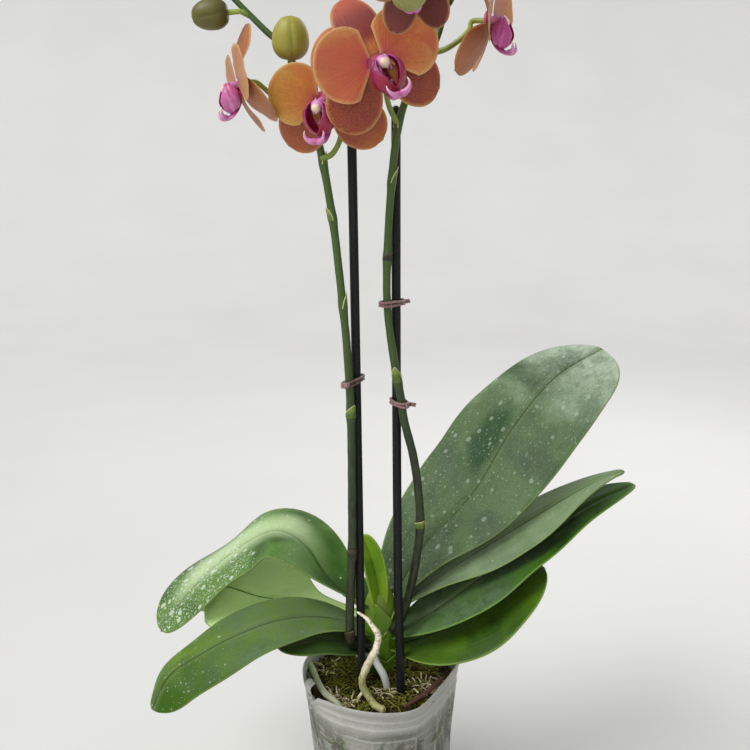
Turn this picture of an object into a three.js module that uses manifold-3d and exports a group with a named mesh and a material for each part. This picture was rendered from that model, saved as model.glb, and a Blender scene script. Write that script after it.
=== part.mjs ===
// A moth orchid in a squeezed plastic nursery pot: leaves, staked flower spikes, blooms, buds and roots.
// Millimetres. The origin is the centre of the pot's underside, +Z is up, and the blooms face -Y.
import * as THREE from "three";
import { mergeVertices } from "three/addons/utils/BufferGeometryUtils.js";
import Module from "manifold-3d";

const wasm = await Module();
wasm.setup();

const GAP = 0.35;
const THINNEST = 0.4;

const POT = { height: 115, rim: 60, base: 45, floor: 2, wall: 1.2, lip: 1, lipHeight: 4, sides: 24 };
const DRAIN = { count: 8, radius: 3.5, circle: 27, sides: 8 };
// The thin pot is pressed nearly flat on one side: direction in degrees, distance left at the rim.
const PRESS = { direction: -28, left: 47, roundness: 14, fade: 1.4 };
const MEDIUM = { top: 104.6, edge: 103.2, mound: 20, clearance: 1 };
// Heights at which the pot's wall and the medium beside it are both pressed, so that they stay parallel.
const WALL_HEIGHTS = [40, 75, MEDIUM.edge];

const CROWN = { centre: [-3, 8, 0], wide: 1.28, sides: 12 };
const CROWN_OUTLINE = [
  [0, 105], [6, 105], [6.5, 116], [9.5, 124], [9.8, 150], [9, 165], [5, 174], [0, 177],
];

// Each leaf runs along its midrib from the crown. Its face points along the face directions, and each half
// rises from it by fold degrees and bends back by curl degrees on its way to the edge. An outline is the
// share of the half width at the base, where along the leaf it is widest, and how blunt the tip is.
const LEAF = { thickness: 2, steps: 10, strips: 2, spacing: 0.9, turns: 12 };
const LEAVES = {
  leaf_right_1: {
    width: 102,
    midrib: [[9, 17.5, 165], [31, 25, 200], [66, 31, 239], [95, 43, 284], [127, 56, 319], [164, 68, 339]],
    face: [[-0.53, -0.66, 0.53], [-0.44, -0.74, 0.5], [-0.37, -0.64, 0.67]],
    left: { share: 1, fold: [43, 2, 0], curl: [2, 19, 20], outline: [0.35, 0.56, 1.2] },
    right: { share: 1, fold: [40, 7, 21], curl: [9, 15, -5], outline: [0.28, 0.8, 3.3] },
  },
  leaf_right_2: {
    width: 64,
    midrib: [[7, 13, 152], [41, 13.5, 180], [73, 14, 202], [113, 17, 227], [147, 18, 248], [171, 15, 260]],
    face: [[-0.42, -0.36, 0.83], [-0.37, -0.43, 0.82], [-0.32, -0.38, 0.87]],
    left: { share: 0.8, fold: [24, -1, -13], curl: [0, 11, 23], outline: [0.35, 0.39, 1.7] },
    right: { share: 1, fold: [36, 15, 28], curl: [-20, -1, -20], outline: [0.3, 0.6, 1.2] },
  },
  leaf_right_3: {
    width: 73,
    midrib: [[7, 5, 139], [40, 1.5, 161], [65, 1.7, 181], [85, 5, 195], [116, 11, 214], [149, 16, 234],
      [181, 20, 248]],
    face: [[-0.37, -0.38, 0.85], [-0.3, -0.3, 0.91], [-0.32, -0.24, 0.92]],
    left: { share: 0.72, fold: [32, 0, -2], curl: [-3, 5, 6], outline: [0.25, 0.55, 2.3] },
    right: { share: 1, fold: [30, 12, 20], curl: [0, 5, -1], outline: [0.26, 0.3, 1.2] },
  },
  leaf_right_4: {
    width: 79,
    midrib: [[2, 9, 126.5], [15, 7, 130.5], [37, -0.5, 142.5], [63, -7, 160], [89, -6, 176], [114, 0, 193]],
    face: [[-0.38, -0.37, 0.85], [-0.19, -0.33, 0.92], [-0.23, -0.27, 0.93]],
    left: { share: 0.7, fold: [40, 20, 12], curl: [0, 5, 10], outline: [0.37, 0.58, 2.3] },
    right: { share: 1, fold: [42, 8, 15], curl: [-1, 9, 3], outline: [0.12, 0.42, 2.15] },
  },
  leaf_left_1: {
    width: 77,
    midrib: [[-13, 10, 156], [-41, 20, 175], [-59, 32, 194], [-83, 40, 202], [-117, 40, 184],
      [-146, 32, 160], [-167, 22, 133]],
    face: [[0.49, -0.44, 0.75], [0.26, -0.4, 0.88], [-0.25, -0.18, 0.95], [-0.64, -0.48, 0.6]],
    left: { share: 1, fold: [48, 24, 7, -6], curl: [-20, 15, 12, 5], outline: [0.36, 0.5, 1.5] },
    right: { share: 1, fold: [51, 24, -3, 11], curl: [-1, 27, 24, -2], outline: [0.36, 0.77, 1.2] },
  },
  leaf_left_2: {
    width: 73,
    midrib: [[-13, 16, 147], [-55, 28, 152], [-93, 37, 153], [-121, 42, 159], [-138, 46, 153],
      [-144, 46, 141]],
    face: [[0.1, -0.31, 0.94], [0.1, -0.31, 0.95], [-0.31, -0.25, 0.92]],
    left: { share: 1, fold: [42, 1, -3], curl: [0, 19, 12], outline: [0.2, 0.67, 2.35] },
    right: { share: 1.05, fold: [30, 34, 12], curl: [0, 16, 20], outline: [0.15, 0.6, 2.3] },
  },
  leaf_left_3: {
    width: 51,
    midrib: [[-12, 2, 142], [-28, -2, 152.6], [-53, -8, 159], [-77, -20, 161.5], [-102, -32, 157],
      [-125, -44, 149], [-144, -54, 139], [-155, -60, 119]],
    face: [[0.1, -0.38, 0.92], [0.01, -0.41, 0.91], [-0.24, -0.47, 0.85], [-0.33, -0.49, 0.81]],
    left: { share: 1, fold: [32, 4, 2, -6], curl: [-8, 12, 13, 17], outline: [0.31, 0.8, 2.35] },
    right: { share: 1, fold: [4, 8, -8, -9], curl: [6, 11, 25, 20], outline: [0.18, 0.6, 1.2] },
  },
  leaf_left_4: {
    width: 37,
    midrib: [[-11, 7, 125.5], [-27, -4, 136.4], [-44, -13, 145], [-59, -19, 145], [-75, -23, 144]],
    face: [[0.1, -0.31, 0.95], [0, -0.33, 0.94], [-0.21, -0.29, 0.93]],
    left: { share: 1, fold: [28, 12, 8], curl: [-3, 7, 7], outline: [0.28, 0.51, 1.7] },
    right: { share: 0.6, fold: [35, 15, 5], curl: [0, 5, 10], outline: [0.4, 0.58, 2.3] },
  },
  young_leaf: {
    width: 17,
    midrib: [[-4, 4, 164], [-5, 3, 179], [-9, 2, 198], [-16, 1, 218]],
    face: [[0.25, -0.95, 0.2], [0.25, -0.95, 0.2]],
    left: { share: 1, fold: [35, 20], curl: [0, 10], outline: [0.7, 0.4, 1.8] },
    right: { share: 1, fold: [35, 20], curl: [0, 10], outline: [0.7, 0.63, 2] },
  },
};

const STAKE = { radius: 3, sides: 8, steps: 8 };
const STAKES = {
  stake_left: [[-14.4, -18, 20], [-16, -18, 117], [-18.6, -18, 310], [-21.5, -18, 510]],
  stake_right: [[12.6, -21.5, 20], [11.5, -21.2, 119], [9.3, -16.6, 197], [7.6, -12.6, 350],
    [6.6, -12, 510]],
};

// Each spike is a main stem, its bare tip with small closed buds, and the stalks of its blooms and buds.
const SPIKE = { radii: [3.1, 2.9, 2.6, 2.4, 1.6], stalk: [1.8, 1.6, 1.6], sides: 8, stalkSides: 6 };
const SPIKES = {
  flower_spike_left: {
    stem: [[-11, -2, 135], [-19.5, -9, 137], [-23.8, -15, 143], [-24.2, -19, 154], [-24, -20.5, 178],
      [-22.4, -22, 212], [-22.1, -23.5, 252], [-22.6, -24.5, 310], [-24.9, -24, 356], [-28, -24, 390],
      [-33.2, -24, 438], [-40, -23.5, 479], [-45.6, -23.5, 502], [-51, -22, 521], [-62, -18, 542.5],
      [-76, -15, 556], [-96, -11, 576], [-112, -8, 594]],
    stalks: [
      { to: "bloom_left", path: [[-40, -25, 477], [-33, -28, 480], [-28, -30, 489], [-28, -33, 499]] },
      { to: "bloom_far_left", path: [[-49, -23, 514], [-60, -18, 513], [-70, -14, 515.5]] },
      { to: "bud_left_tip", path: [[-83, -13, 563], [-90, -14, 566]] },
      { to: "bud_left_lower", away: 3, path: [[-55.5, -20.5, 530], [-57.5, -25, 529]] },
    ],
    tipBuds: [[-113.5, -8, 597, 4], [-109.5, -11, 589, 3.4], [-103, -7, 588, 3.4]],
  },
  flower_spike_right: {
    stem: [[5, -3, 146], [11.3, -5.8, 155.7], [14.1, -6.2, 163], [18.2, -7, 179], [22.2, -9, 203],
      [24.6, -12, 230], [22.8, -15.5, 257], [19.1, -18, 282], [12.8, -19.3, 307], [10.8, -20.1, 321],
      [5.9, -18.7, 348], [1.6, -16.7, 381], [1.2, -17, 413], [3, -18, 450], [6, -19.5, 485],
      [9.6, -20.5, 504], [16.3, -21, 521.5], [25.5, -19, 536.5], [32.3, -16, 551.6], [37.2, -12, 568],
      [44.7, -9, 580], [53.4, -6, 592], [58, -4, 604]],
    stalks: [
      { to: "bloom_centre", path: [[8, -20.5, 498], [3, -27, 506], [0.5, -35, 513], [-2, -45, 521]] },
      { to: "bloom_far_right", path: [[29, -17, 541], [37, -19, 543], [45, -20, 548], [51, -20, 554]] },
      { to: "bloom_back", path: [[41, -12, 574], [41, -24, 580], [35, -42, 585], [24, -58, 583]] },
      {
        to: "bud_right",
        path: [[51, -10, 590], [53, -40, 594], [48, -74, 592], [36, -100, 587], [24, -107, 583]],
      },
    ],
    tipBuds: [[59, -4, 607.5, 4], [61.5, -7, 599, 3.4], [53, -2.5, 599, 3.4]],
  },
};

// Ties: centre, and the heading from the stake to the stem that the loop holds against it.
const TIE = { radius: 4.9, cord: 0.9, stretch: 2, sides: 5, turns: 14 };
const TIES = {
  tie_left: { centre: [-21.2, -20.9, 334], heading: 52 },
  tie_right_upper: { centre: [4.6, -14.3, 385], heading: 39 },
  tie_right_lower: { centre: [9.7, -16.2, 318.5], heading: -67 },
};

const ROOTS = {
  aerial_root_front: {
    radii: [0.7, 2.3, 2.6, 2.6, 2.4],
    path: [[-19.2, -22.8, 170.5], [-13, -26, 167.5], [-8, -28, 162], [-4.5, -30, 156], [-6, -31, 147],
      [-10, -32, 139], [-14, -33, 130], [-15.6, -33, 121], [-12, -34, 113.5], [-6.5, -38, 108],
      [0.5, -44, 107.2]],
  },
  aerial_root_middle: {
    radii: [2.7, 2.7, 2.3],
    path: [[-4, 2, 127], [-8, -9, 131], [-6, -13, 127], [-0.2, -15, 117], [2, -14, 107.5]],
  },
  aerial_root_left: {
    radii: [2.3, 2.3, 2.1],
    path: [[-53, 14, 112], [-51.5, 4, 109], [-48, -8, 107.5], [-41.5, -24, 107.3], [-33, -34, 107.2]],
  },
};

// A bloom faces along its own Z, with its back sepal towards +Y and its lip towards -Y. Lengths are for a
// bloom of size 1. Bends are in mm back per mm squared, from the centre.
const SEPAL = { start: 6, thickness: 1, base: 0.24, widest: 0.52, blunt: 2.2, steps: 5, strips: 4 };
const BACK_SEPAL = { length: 46.7, width: 30.7, bend: 0.0075, cup: 0.01 };
const SIDE_SEPAL = { length: 45.9, cup: 0.008, skew: 0.77 };
const PETAL = {
  thickness: 1, spread: 66.8, narrowing: 0.98, power: 0.6, skew: 0.08, lift: 2.5, offset: 4, inner: 0.1,
  steps: 5, strips: 6,
};
// A side lobe is part of a shell, swept from one angle to another. It is widest between its two ends.
const LOBE = {
  centre: [0, -8.6, 10.5], half: [11.6, 12.2, 9], from: -97, to: 66, reach: 52, ends: [0.15, 0.93],
  thickness: 0.9, steps: 6, strips: 3,
};
const LIP_PATH = [[0, -5, 3], [0, -13, 4.5], [0, -20, 8], [0, -24.5, 13], [0, -25, 19]];
const LIP_HALF_WIDTHS = [2.8, 4, 4.7, 4.2, 3];
const HORN_PATH = [[0.6, -25, 17.5], [4, -24, 19.6], [6.8, -20.6, 20.6], [7, -16, 19.4]];
const HORN_RADII = [1.6, 1, 0.4];
// A turned lip stands this many millimetres further forward for each degree, clear of the petals.
const TURN_LIFT = 0.08;
const COLUMN_PATH = [[0, 0, -3], [0, 0.2, 0.5], [0, 0.5, 5], [0, -0.2, 11]];
const COLUMN = { radii: [4.2, 3.4, 3.2], sides: 8, cap: 3.3, capCentre: [0, -1, 12] };
// Each bloom: centre, facing, roll anticlockwise, size, how far the lip and column turn to one side, the
// lean of the back sepal, the directions of the side sepals from straight down, and how far one lies
// behind the other.
const BLOOMS = {
  bloom_centre: {
    centre: [-4.9, -59, 529.3], facing: [0.27, -0.96, 0.1], roll: 23, size: 0.915, lipTurn: 0,
    petals: { length: 38.9, tilt: 21, bend: -0.0013 },
    sepals: { lean: 0, angles: [53, 53], width: 36, bend: 0.0051, step: 0 },
  },
  bloom_left: {
    centre: [-36.1, -42, 510.2], facing: [-0.22, -0.94, -0.25], roll: 3, size: 0.88, lipTurn: -14,
    petals: { length: 35.5, tilt: 23, bend: -0.0013 },
    sepals: { lean: -14, angles: [49, 49], width: 36, bend: 0.0047, step: 0 },
  },
  bloom_far_left: {
    centre: [-90, -20, 521.5], facing: [-0.93, -0.31, -0.18], roll: 6, size: 0.78, lipTurn: 0,
    petals: { length: 37, tilt: 21, bend: 0.0005 },
    sepals: { lean: 8, angles: [50, 51], width: 38, bend: 0.0072, step: 0 },
  },
  bloom_far_right: {
    centre: [63, -20, 559.1], facing: [0.95, -0.31, -0.03], roll: 3, size: 0.8, lipTurn: 0,
    petals: { length: 38.9, tilt: 21, bend: -0.004 },
    sepals: { lean: 0, angles: [36, 50], width: 36, bend: 0.009, step: 0 },
  },
  bloom_back: {
    centre: [13.7, -75, 573.4], facing: [-0.15, -0.9, -0.35], roll: 6, size: 0.666, lipTurn: 0,
    petals: { length: 36, tilt: 21, bend: -0.005 },
    sepals: { lean: 0, angles: [27, 27], width: 29, bend: -0.004, step: 2.6 },
  },
};

// The long buds: centre, the direction of the closed tip, length and width.
const BUDS = {
  bud_left_tip: { centre: [-108.3, -14, 563.8], towards: [-1, 0, -0.1], length: 23, width: 18 },
  bud_left_lower: { centre: [-57.2, -33.5, 547.6], towards: [0.05, -0.3, 0.95], length: 25, width: 21.6 },
  bud_right: { centre: [11.4, -102, 561.2], towards: [-0.3, 0.1, -0.95], length: 20.6, width: 19.6 },
};
// A bud's half width against its length, from its stalk to its tip.
const BUD_OUTLINE = [[0, 0], [0.55, 0.03], [0.9, 0.2], [1, 0.42], [0.9, 0.7], [0.52, 0.93], [0, 1]];
const BUD_SIDES = 10;
// Sides and rows of the small balls: the closed tip buds and the caps of the columns.
const BALL = [7, 5];

const COLOURS = {
  potPlastic: [0xb9bdb6, 0.35],
  moss: [0x4d4a20, 1],
  crownGreen: [0x6f9a2c, 0.5],
  leafGreen: [0x47703f, 0.45],
  youngGreen: [0x7cae30, 0.45],
  spikeGreen: [0x4c6330, 0.55],
  stakeBlack: [0x17181a, 0.5],
  tieBrown: [0x6b4a48, 0.7],
  rootGrey: [0xb5b08a, 0.85],
  petalOrange: [0xd07a48, 0.6],
  sepalRed: [0xb5523a, 0.6],
  lipMagenta: [0xa3104a, 0.45],
  columnPink: [0xd48bb8, 0.5],
  budGreen: [0xa3a64a, 0.5],
};

const rad = THREE.MathUtils.degToRad;
const lerp = THREE.MathUtils.lerp;
const vec = (point) => new THREE.Vector3(...point);
const smooth = (points) => new THREE.CatmullRomCurve3(points.map(vec), false, "catmullrom", 0.5);

// The value at u, from 0 to 1, on a smooth run through evenly spaced values.
const valueAt = (values, u) => smooth(values.map((value) => [value, 0, 0])).getPoint(u).x;

const part = new THREE.Group();

function addMesh(group, name, geometry, colour) {
  const [hex, roughness] = COLOURS[colour];
  const material = new THREE.MeshStandardMaterial({ color: hex, roughness, metalness: 0 });
  const mesh = new THREE.Mesh(geometry, material);
  mesh.name = name;
  group.add(mesh);
}

// A geometry from corner points and the triangles that join them.
function surfaceOf(points, triangles) {
  const geometry = new THREE.BufferGeometry().setFromPoints(points);
  geometry.setIndex(triangles.flat());
  return geometry;
}

function solidOf(geometry) {
  const bare = new THREE.BufferGeometry();
  bare.setAttribute("position", geometry.getAttribute("position"));
  bare.setIndex(geometry.index);
  const merged = mergeVertices(bare);
  return new wasm.Manifold(
    new wasm.Mesh({
      numProp: 3,
      vertProperties: merged.attributes.position.array,
      triVerts: new Uint32Array(merged.index.array),
    }),
  );
}

function geometryOf(solid) {
  const { vertProperties, triVerts } = solid.getMesh();
  const geometry = new THREE.BufferGeometry();
  geometry.setAttribute("position", new THREE.BufferAttribute(vertProperties, 3));
  geometry.setIndex(new THREE.BufferAttribute(triVerts, 1));
  return geometry;
}

const joined = (geometries) => {
  return geometryOf(geometries.map(solidOf).reduce((whole, piece) => whole.add(piece)));
};

// What is left of a geometry outside a cutter, keeping only its largest piece.
function trimmed(geometry, cutter) {
  const pieces = solidOf(geometry).subtract(solidOf(cutter)).decompose();
  pieces.sort((a, b) => b.volume() - a.volume());
  return geometryOf(pieces[0]);
}

// A closed sheet of even thickness about a grid of points. Rows run along it, and its face is on the side
// where the row direction and the column direction turn anticlockwise.
function sheet(rows, thickness) {
  const last = rows.length - 1;
  const across = rows[0].length - 1;
  const front = [];
  const back = [];
  rows.forEach((row, i) => {
    row.forEach((point, j) => {
      const along = rows[Math.min(i + 1, last)][j].clone().sub(rows[Math.max(i - 1, 0)][j]);
      const over = row[Math.min(j + 1, across)].clone().sub(row[Math.max(j - 1, 0)]);
      const normal = along.cross(over).normalize().multiplyScalar(thickness / 2);
      front.push(point.clone().add(normal));
      back.push(point.clone().sub(normal));
    });
  });
  const size = front.length;
  const at = (i, j) => i * (across + 1) + j;
  const triangles = [];
  for (let i = 0; i < last; i++) {
    for (let j = 0; j < across; j++) {
      const [a, b, c, d] = [at(i, j), at(i + 1, j), at(i + 1, j + 1), at(i, j + 1)];
      triangles.push([a, b, c], [a, c, d], [size + a, size + c, size + b], [size + a, size + d, size + c]);
    }
  }
  const edge = [];
  for (let i = 0; i < last; i++) edge.push(at(i, 0));
  for (let j = 0; j < across; j++) edge.push(at(last, j));
  for (let i = last; i > 0; i--) edge.push(at(i, across));
  for (let j = across; j > 0; j--) edge.push(at(0, j));
  edge.forEach((a, k) => {
    const b = edge[(k + 1) % edge.length];
    triangles.push([a, size + b, b], [a, size + a, size + b]);
  });
  return surfaceOf([...front, ...back], triangles);
}

// A closed tube along a smooth path, with radii at even distances along it.
function tube(path, radii, sides, steps) {
  const curve = smooth(path);
  const frames = curve.computeFrenetFrames(steps, false);
  const points = [];
  const triangles = [];
  for (let i = 0; i <= steps; i++) {
    const centre = curve.getPointAt(i / steps);
    const radius = valueAt(radii, i / steps);
    for (let j = 0; j < sides; j++) {
      const angle = (j / sides) * 2 * Math.PI;
      points.push(
        centre
          .clone()
          .addScaledVector(frames.normals[i], radius * Math.cos(angle))
          .addScaledVector(frames.binormals[i], radius * Math.sin(angle)),
      );
    }
  }
  for (let i = 0; i < steps; i++) {
    for (let j = 0; j < sides; j++) {
      const next = (j + 1) % sides;
      const [a, b, c, d] = [i * sides + j, i * sides + next, (i + 1) * sides + next, (i + 1) * sides + j];
      triangles.push([a, b, c], [a, c, d]);
    }
  }
  const end = steps * sides;
  for (let j = 1; j < sides - 1; j++) {
    triangles.push([0, j + 1, j], [end, end + j, end + j + 1]);
  }
  return surfaceOf(points, triangles);
}

// The pressed side of the pot: how far from the axis a point lies whose radius in a round pot is given.
function pressedRadius(radius, angle, height) {
  const facing = Math.cos(angle - rad(PRESS.direction));
  if (facing <= 0) return radius;
  const flat = PRESS.left / POT.rim;
  const pressed = ((1 + (facing / flat) ** PRESS.roundness) ** (-1 / PRESS.roundness)) * radius;
  return lerp(radius, pressed, Math.max(height / POT.height, 0) ** PRESS.fade);
}

function pressedLathe(outline) {
  const geometry = new THREE.LatheGeometry(outline.map(([r, z]) => new THREE.Vector2(r, z)), POT.sides);
  geometry.rotateX(Math.PI / 2);
  const position = geometry.getAttribute("position");
  for (let i = 0; i < position.count; i++) {
    const [x, y, z] = [position.getX(i), position.getY(i), position.getZ(i)];
    const angle = Math.atan2(y, x);
    const radius = pressedRadius(Math.hypot(x, y), angle, z);
    position.setXY(i, radius * Math.cos(angle), radius * Math.sin(angle));
  }
  return geometry;
}

const potRadius = (height) => lerp(POT.base, POT.rim - POT.lip, height / POT.height);

function pot() {
  const lipFoot = POT.height - POT.lipHeight;
  const shell = pressedLathe([
    [0, 0],
    [POT.base - POT.floor, 0],
    [potRadius(POT.floor), POT.floor],
    ...WALL_HEIGHTS.map((z) => [potRadius(z), z]),
    [potRadius(lipFoot - POT.lip), lipFoot - POT.lip],
    [potRadius(lipFoot) + POT.lip, lipFoot],
    [POT.rim, POT.height],
    [POT.rim - POT.wall, POT.height],
    [potRadius(lipFoot) - POT.wall, lipFoot - POT.lip],
    ...WALL_HEIGHTS.toReversed().map((z) => [potRadius(z) - POT.wall, z]),
    [potRadius(POT.floor) - POT.wall, POT.floor],
    [0, POT.floor],
  ]);
  const through = 4 * POT.floor;
  const drill = (k) => {
    const angle = (k / DRAIN.count) * 2 * Math.PI;
    const hole = new THREE.CylinderGeometry(DRAIN.radius, DRAIN.radius, through, DRAIN.sides);
    hole.rotateX(Math.PI / 2);
    hole.translate(DRAIN.circle * Math.cos(angle), DRAIN.circle * Math.sin(angle), 0);
    return solidOf(hole);
  };
  const drilled = Array.from({ length: DRAIN.count }, (_, k) => drill(k)).reduce(
    (solid, hole) => solid.subtract(hole),
    solidOf(shell),
  );
  addMesh(part, "pot", geometryOf(drilled), "potPlastic");
}

const stakeTube = (path, radius) => tube(path, [radius, radius], STAKE.sides, STAKE.steps);

// Damp moss and bark that fills the pot, with a socket down which each stake is pushed.
function growingMedium() {
  const inside = (height) => potRadius(height) - POT.wall - MEDIUM.clearance;
  const bottom = POT.floor + GAP;
  const body = pressedLathe([
    [0, bottom],
    [inside(bottom), bottom],
    ...WALL_HEIGHTS.map((z) => [inside(z), z]),
    [MEDIUM.mound, MEDIUM.top],
    [0, MEDIUM.top],
  ]);
  const socketed = Object.values(STAKES)
    .map(([[x, y, z], ...rest]) => stakeTube([[x, y, z - GAP], ...rest], STAKE.radius + GAP))
    .reduce((solid, socket) => solid.subtract(solidOf(socket)), solidOf(body));
  addMesh(part, "growing_medium", geometryOf(socketed), "moss");
}

// The short upright stem that the leaves wrap, standing on its roots. A clearance makes it a cutter.
function crownShape(clearance) {
  const outline = CROWN_OUTLINE.map(([r, z]) => new THREE.Vector2(r > 0 ? r + clearance : 0, z));
  outline[0].y -= clearance;
  outline[1].y -= clearance;
  outline[outline.length - 1].y += clearance;
  const geometry = new THREE.LatheGeometry(outline, CROWN.sides);
  geometry.rotateX(Math.PI / 2);
  geometry.scale(CROWN.wide, 1, 1);
  geometry.translate(...CROWN.centre);
  return geometry;
}

const crownCutter = crownShape(GAP);

// The share of a half leaf's width at u along it.
function outlineShare(u, base, widest, blunt) {
  if (u < widest) return base + (1 - base) * Math.sin(((Math.PI / 2) * u) / widest);
  return Math.sqrt(1 - ((u - widest) / (1 - widest)) ** blunt);
}

// The point that a half leaf reaches at share q of its width: how far out and how far up from the midrib.
function bentHalf(half, u, q, halfWidth) {
  const { turns } = LEAF;
  let out = 0;
  let up = 0;
  for (let k = 0; k < turns; k++) {
    const share = ((k + 0.5) / turns) * q;
    const angle = rad(valueAt(half.fold, u) - valueAt(half.curl, u) * share);
    out += (Math.cos(angle) * q * halfWidth) / turns;
    up += (Math.sin(angle) * q * halfWidth) / turns;
  }
  return [out, up];
}

function leaf(name, { width, midrib, face, left, right }) {
  const { steps, strips } = LEAF;
  const rib = smooth(midrib);
  const faces = smooth(face);
  const rows = [];
  for (let i = 0; i <= steps; i++) {
    const u = Math.sin(((i / steps) * Math.PI) / 2) ** LEAF.spacing;
    const centre = rib.getPointAt(u);
    const along = rib.getTangentAt(u);
    const up = faces.getPoint(u).normalize();
    up.addScaledVector(along, -up.dot(along)).normalize();
    const rightward = new THREE.Vector3().crossVectors(along, up);
    const row = [];
    for (let j = -strips; j <= strips; j++) {
      const half = j < 0 ? left : right;
      const halfWidth = Math.max((width / 2) * half.share * outlineShare(u, ...half.outline), THINNEST);
      const [out, lift] = bentHalf(half, u, Math.abs(j) / strips, halfWidth);
      row.push(centre.clone().addScaledVector(rightward, Math.sign(j) * out).addScaledVector(up, lift));
    }
    rows.push(row.reverse());
  }
  const blade = trimmed(sheet(rows, LEAF.thickness), crownCutter);
  addMesh(part, name, blade, name === "young_leaf" ? "youngGreen" : "leafGreen");
}

// The points by which a stalk comes up behind a bloom or bud: some way off, and just short of it.
function approach(name, away) {
  const shape = BLOOMS[name] ?? BUDS[name];
  const forward = vec(shape.facing ?? shape.towards).normalize();
  const depth = BLOOMS[name] ? -COLUMN_PATH[0][2] * shape.size : shape.length / 2;
  return [away, 2 * GAP].map((off) => vec(shape.centre).addScaledVector(forward, -depth - off).toArray());
}

function spike(name, { stem, stalks, tipBuds }) {
  const main = tube(stem, SPIKE.radii, SPIKE.sides, stem.length + 2);
  const branches = stalks.map(({ to, path, away = 8 }) => {
    return tube([...path, ...approach(to, away)], SPIKE.stalk, SPIKE.stalkSides, path.length + 2);
  });
  const buds = tipBuds.map(([x, y, z, radius]) => {
    const bud = new THREE.SphereGeometry(radius, ...BALL);
    bud.translate(x, y, z);
    return bud;
  });
  addMesh(part, name, trimmed(joined([main, ...branches, ...buds]), crownCutter), "spikeGreen");
}

function tie(name, { centre, heading }) {
  const loop = new THREE.TorusGeometry(TIE.radius, TIE.cord, TIE.sides, TIE.turns);
  loop.scale(TIE.stretch, 1, 1);
  loop.rotateZ(rad(heading));
  loop.translate(...centre);
  addMesh(part, name, loop, "tieBrown");
}

// Grid points of one sepal, which lies along a direction in the bloom's own plane.
function sepal({ direction, length, width, bend, cup, skew = 0, step = 0 }) {
  const { steps, strips } = SEPAL;
  const angle = rad(direction);
  const rows = [];
  for (let i = 0; i <= steps; i++) {
    const t = i / steps;
    const reach = lerp(SEPAL.start, length, t);
    const half = Math.max((width / 2) * outlineShare(t, SEPAL.base, SEPAL.widest, SEPAL.blunt), THINNEST);
    const row = [];
    for (let j = 0; j <= strips; j++) {
      const across = half * ((2 * j) / strips - 1);
      const side = across + skew * Math.sin(Math.PI * t);
      row.push(
        new THREE.Vector3(
          reach * Math.cos(angle) - side * Math.sin(angle),
          reach * Math.sin(angle) + side * Math.cos(angle),
          -bend * reach ** 2 - cup * across ** 2 - step,
        ),
      );
    }
    rows.push(row);
  }
  return sheet(rows, SEPAL.thickness);
}

// A petal is a broad fan about its own axis, mirrored for the other side.
function petal({ length, tilt, bend }, side) {
  const { steps, strips } = PETAL;
  const rows = [];
  for (let i = 0; i <= steps; i++) {
    const row = [];
    for (let j = 0; j <= strips; j++) {
      const angle = rad(PETAL.spread * ((2 * j) / strips - 1));
      const round = Math.cos(PETAL.narrowing * angle) ** PETAL.power;
      const outer = length * round * (1 - PETAL.skew * Math.sin(angle));
      const reach = lerp(PETAL.inner * length, outer, i / steps);
      const point = new THREE.Vector3(PETAL.offset + reach * Math.cos(angle), reach * Math.sin(angle), 0);
      point.z = PETAL.lift - bend * (point.x ** 2 + point.y ** 2);
      point.applyAxisAngle(new THREE.Vector3(0, 0, 1), rad(tilt));
      point.x *= side;
      row.push(point);
    }
    rows.push(side > 0 ? row : row.reverse());
  }
  return sheet(rows, PETAL.thickness);
}

// One erect side lobe of the lip, part of a shell that cups the column.
function sideLobe(side) {
  const { steps, strips } = LOBE;
  const [x, y, z] = LOBE.centre;
  const [a, b, c] = LOBE.half;
  const rows = [];
  for (let i = 0; i <= steps; i++) {
    const round = rad(lerp(LOBE.from, LOBE.to, i / steps));
    const reach = rad(LOBE.reach) * Math.sin(Math.PI * lerp(...LOBE.ends, i / steps));
    const row = [];
    for (let j = 0; j <= strips; j++) {
      const tilt = reach * ((2 * j) / strips - 1);
      row.push(
        new THREE.Vector3(
          side * (x + a * Math.cos(tilt) * Math.cos(round)),
          y + b * Math.cos(tilt) * Math.sin(round),
          z + c * Math.sin(tilt),
        ),
      );
    }
    rows.push(side > 0 ? row : row.reverse());
  }
  return sheet(rows, LOBE.thickness);
}

// The lip: a narrow middle lobe that ends in two horns, and the two side lobes.
function lip() {
  const path = smooth(LIP_PATH);
  const steps = LIP_PATH.length;
  const rows = [];
  for (let i = 0; i <= steps; i++) {
    const centre = path.getPointAt(i / steps);
    const half = valueAt(LIP_HALF_WIDTHS, i / steps);
    rows.push([half, 0, -half].map((x) => new THREE.Vector3(x, 0, 0).add(centre)));
  }
  const horns = [1, -1].map((side) => {
    const route = HORN_PATH.map(([x, y, z]) => [side * x, y, z]);
    return tube(route, HORN_RADII, 4, 3);
  });
  return joined([sheet(rows, LOBE.thickness), ...horns, sideLobe(1), sideLobe(-1)]);
}

function column() {
  const stalk = tube(COLUMN_PATH, COLUMN.radii, COLUMN.sides, 4);
  const cap = new THREE.SphereGeometry(COLUMN.cap, ...BALL);
  cap.translate(...COLUMN.capCentre);
  return joined([stalk, cap]);
}

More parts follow.
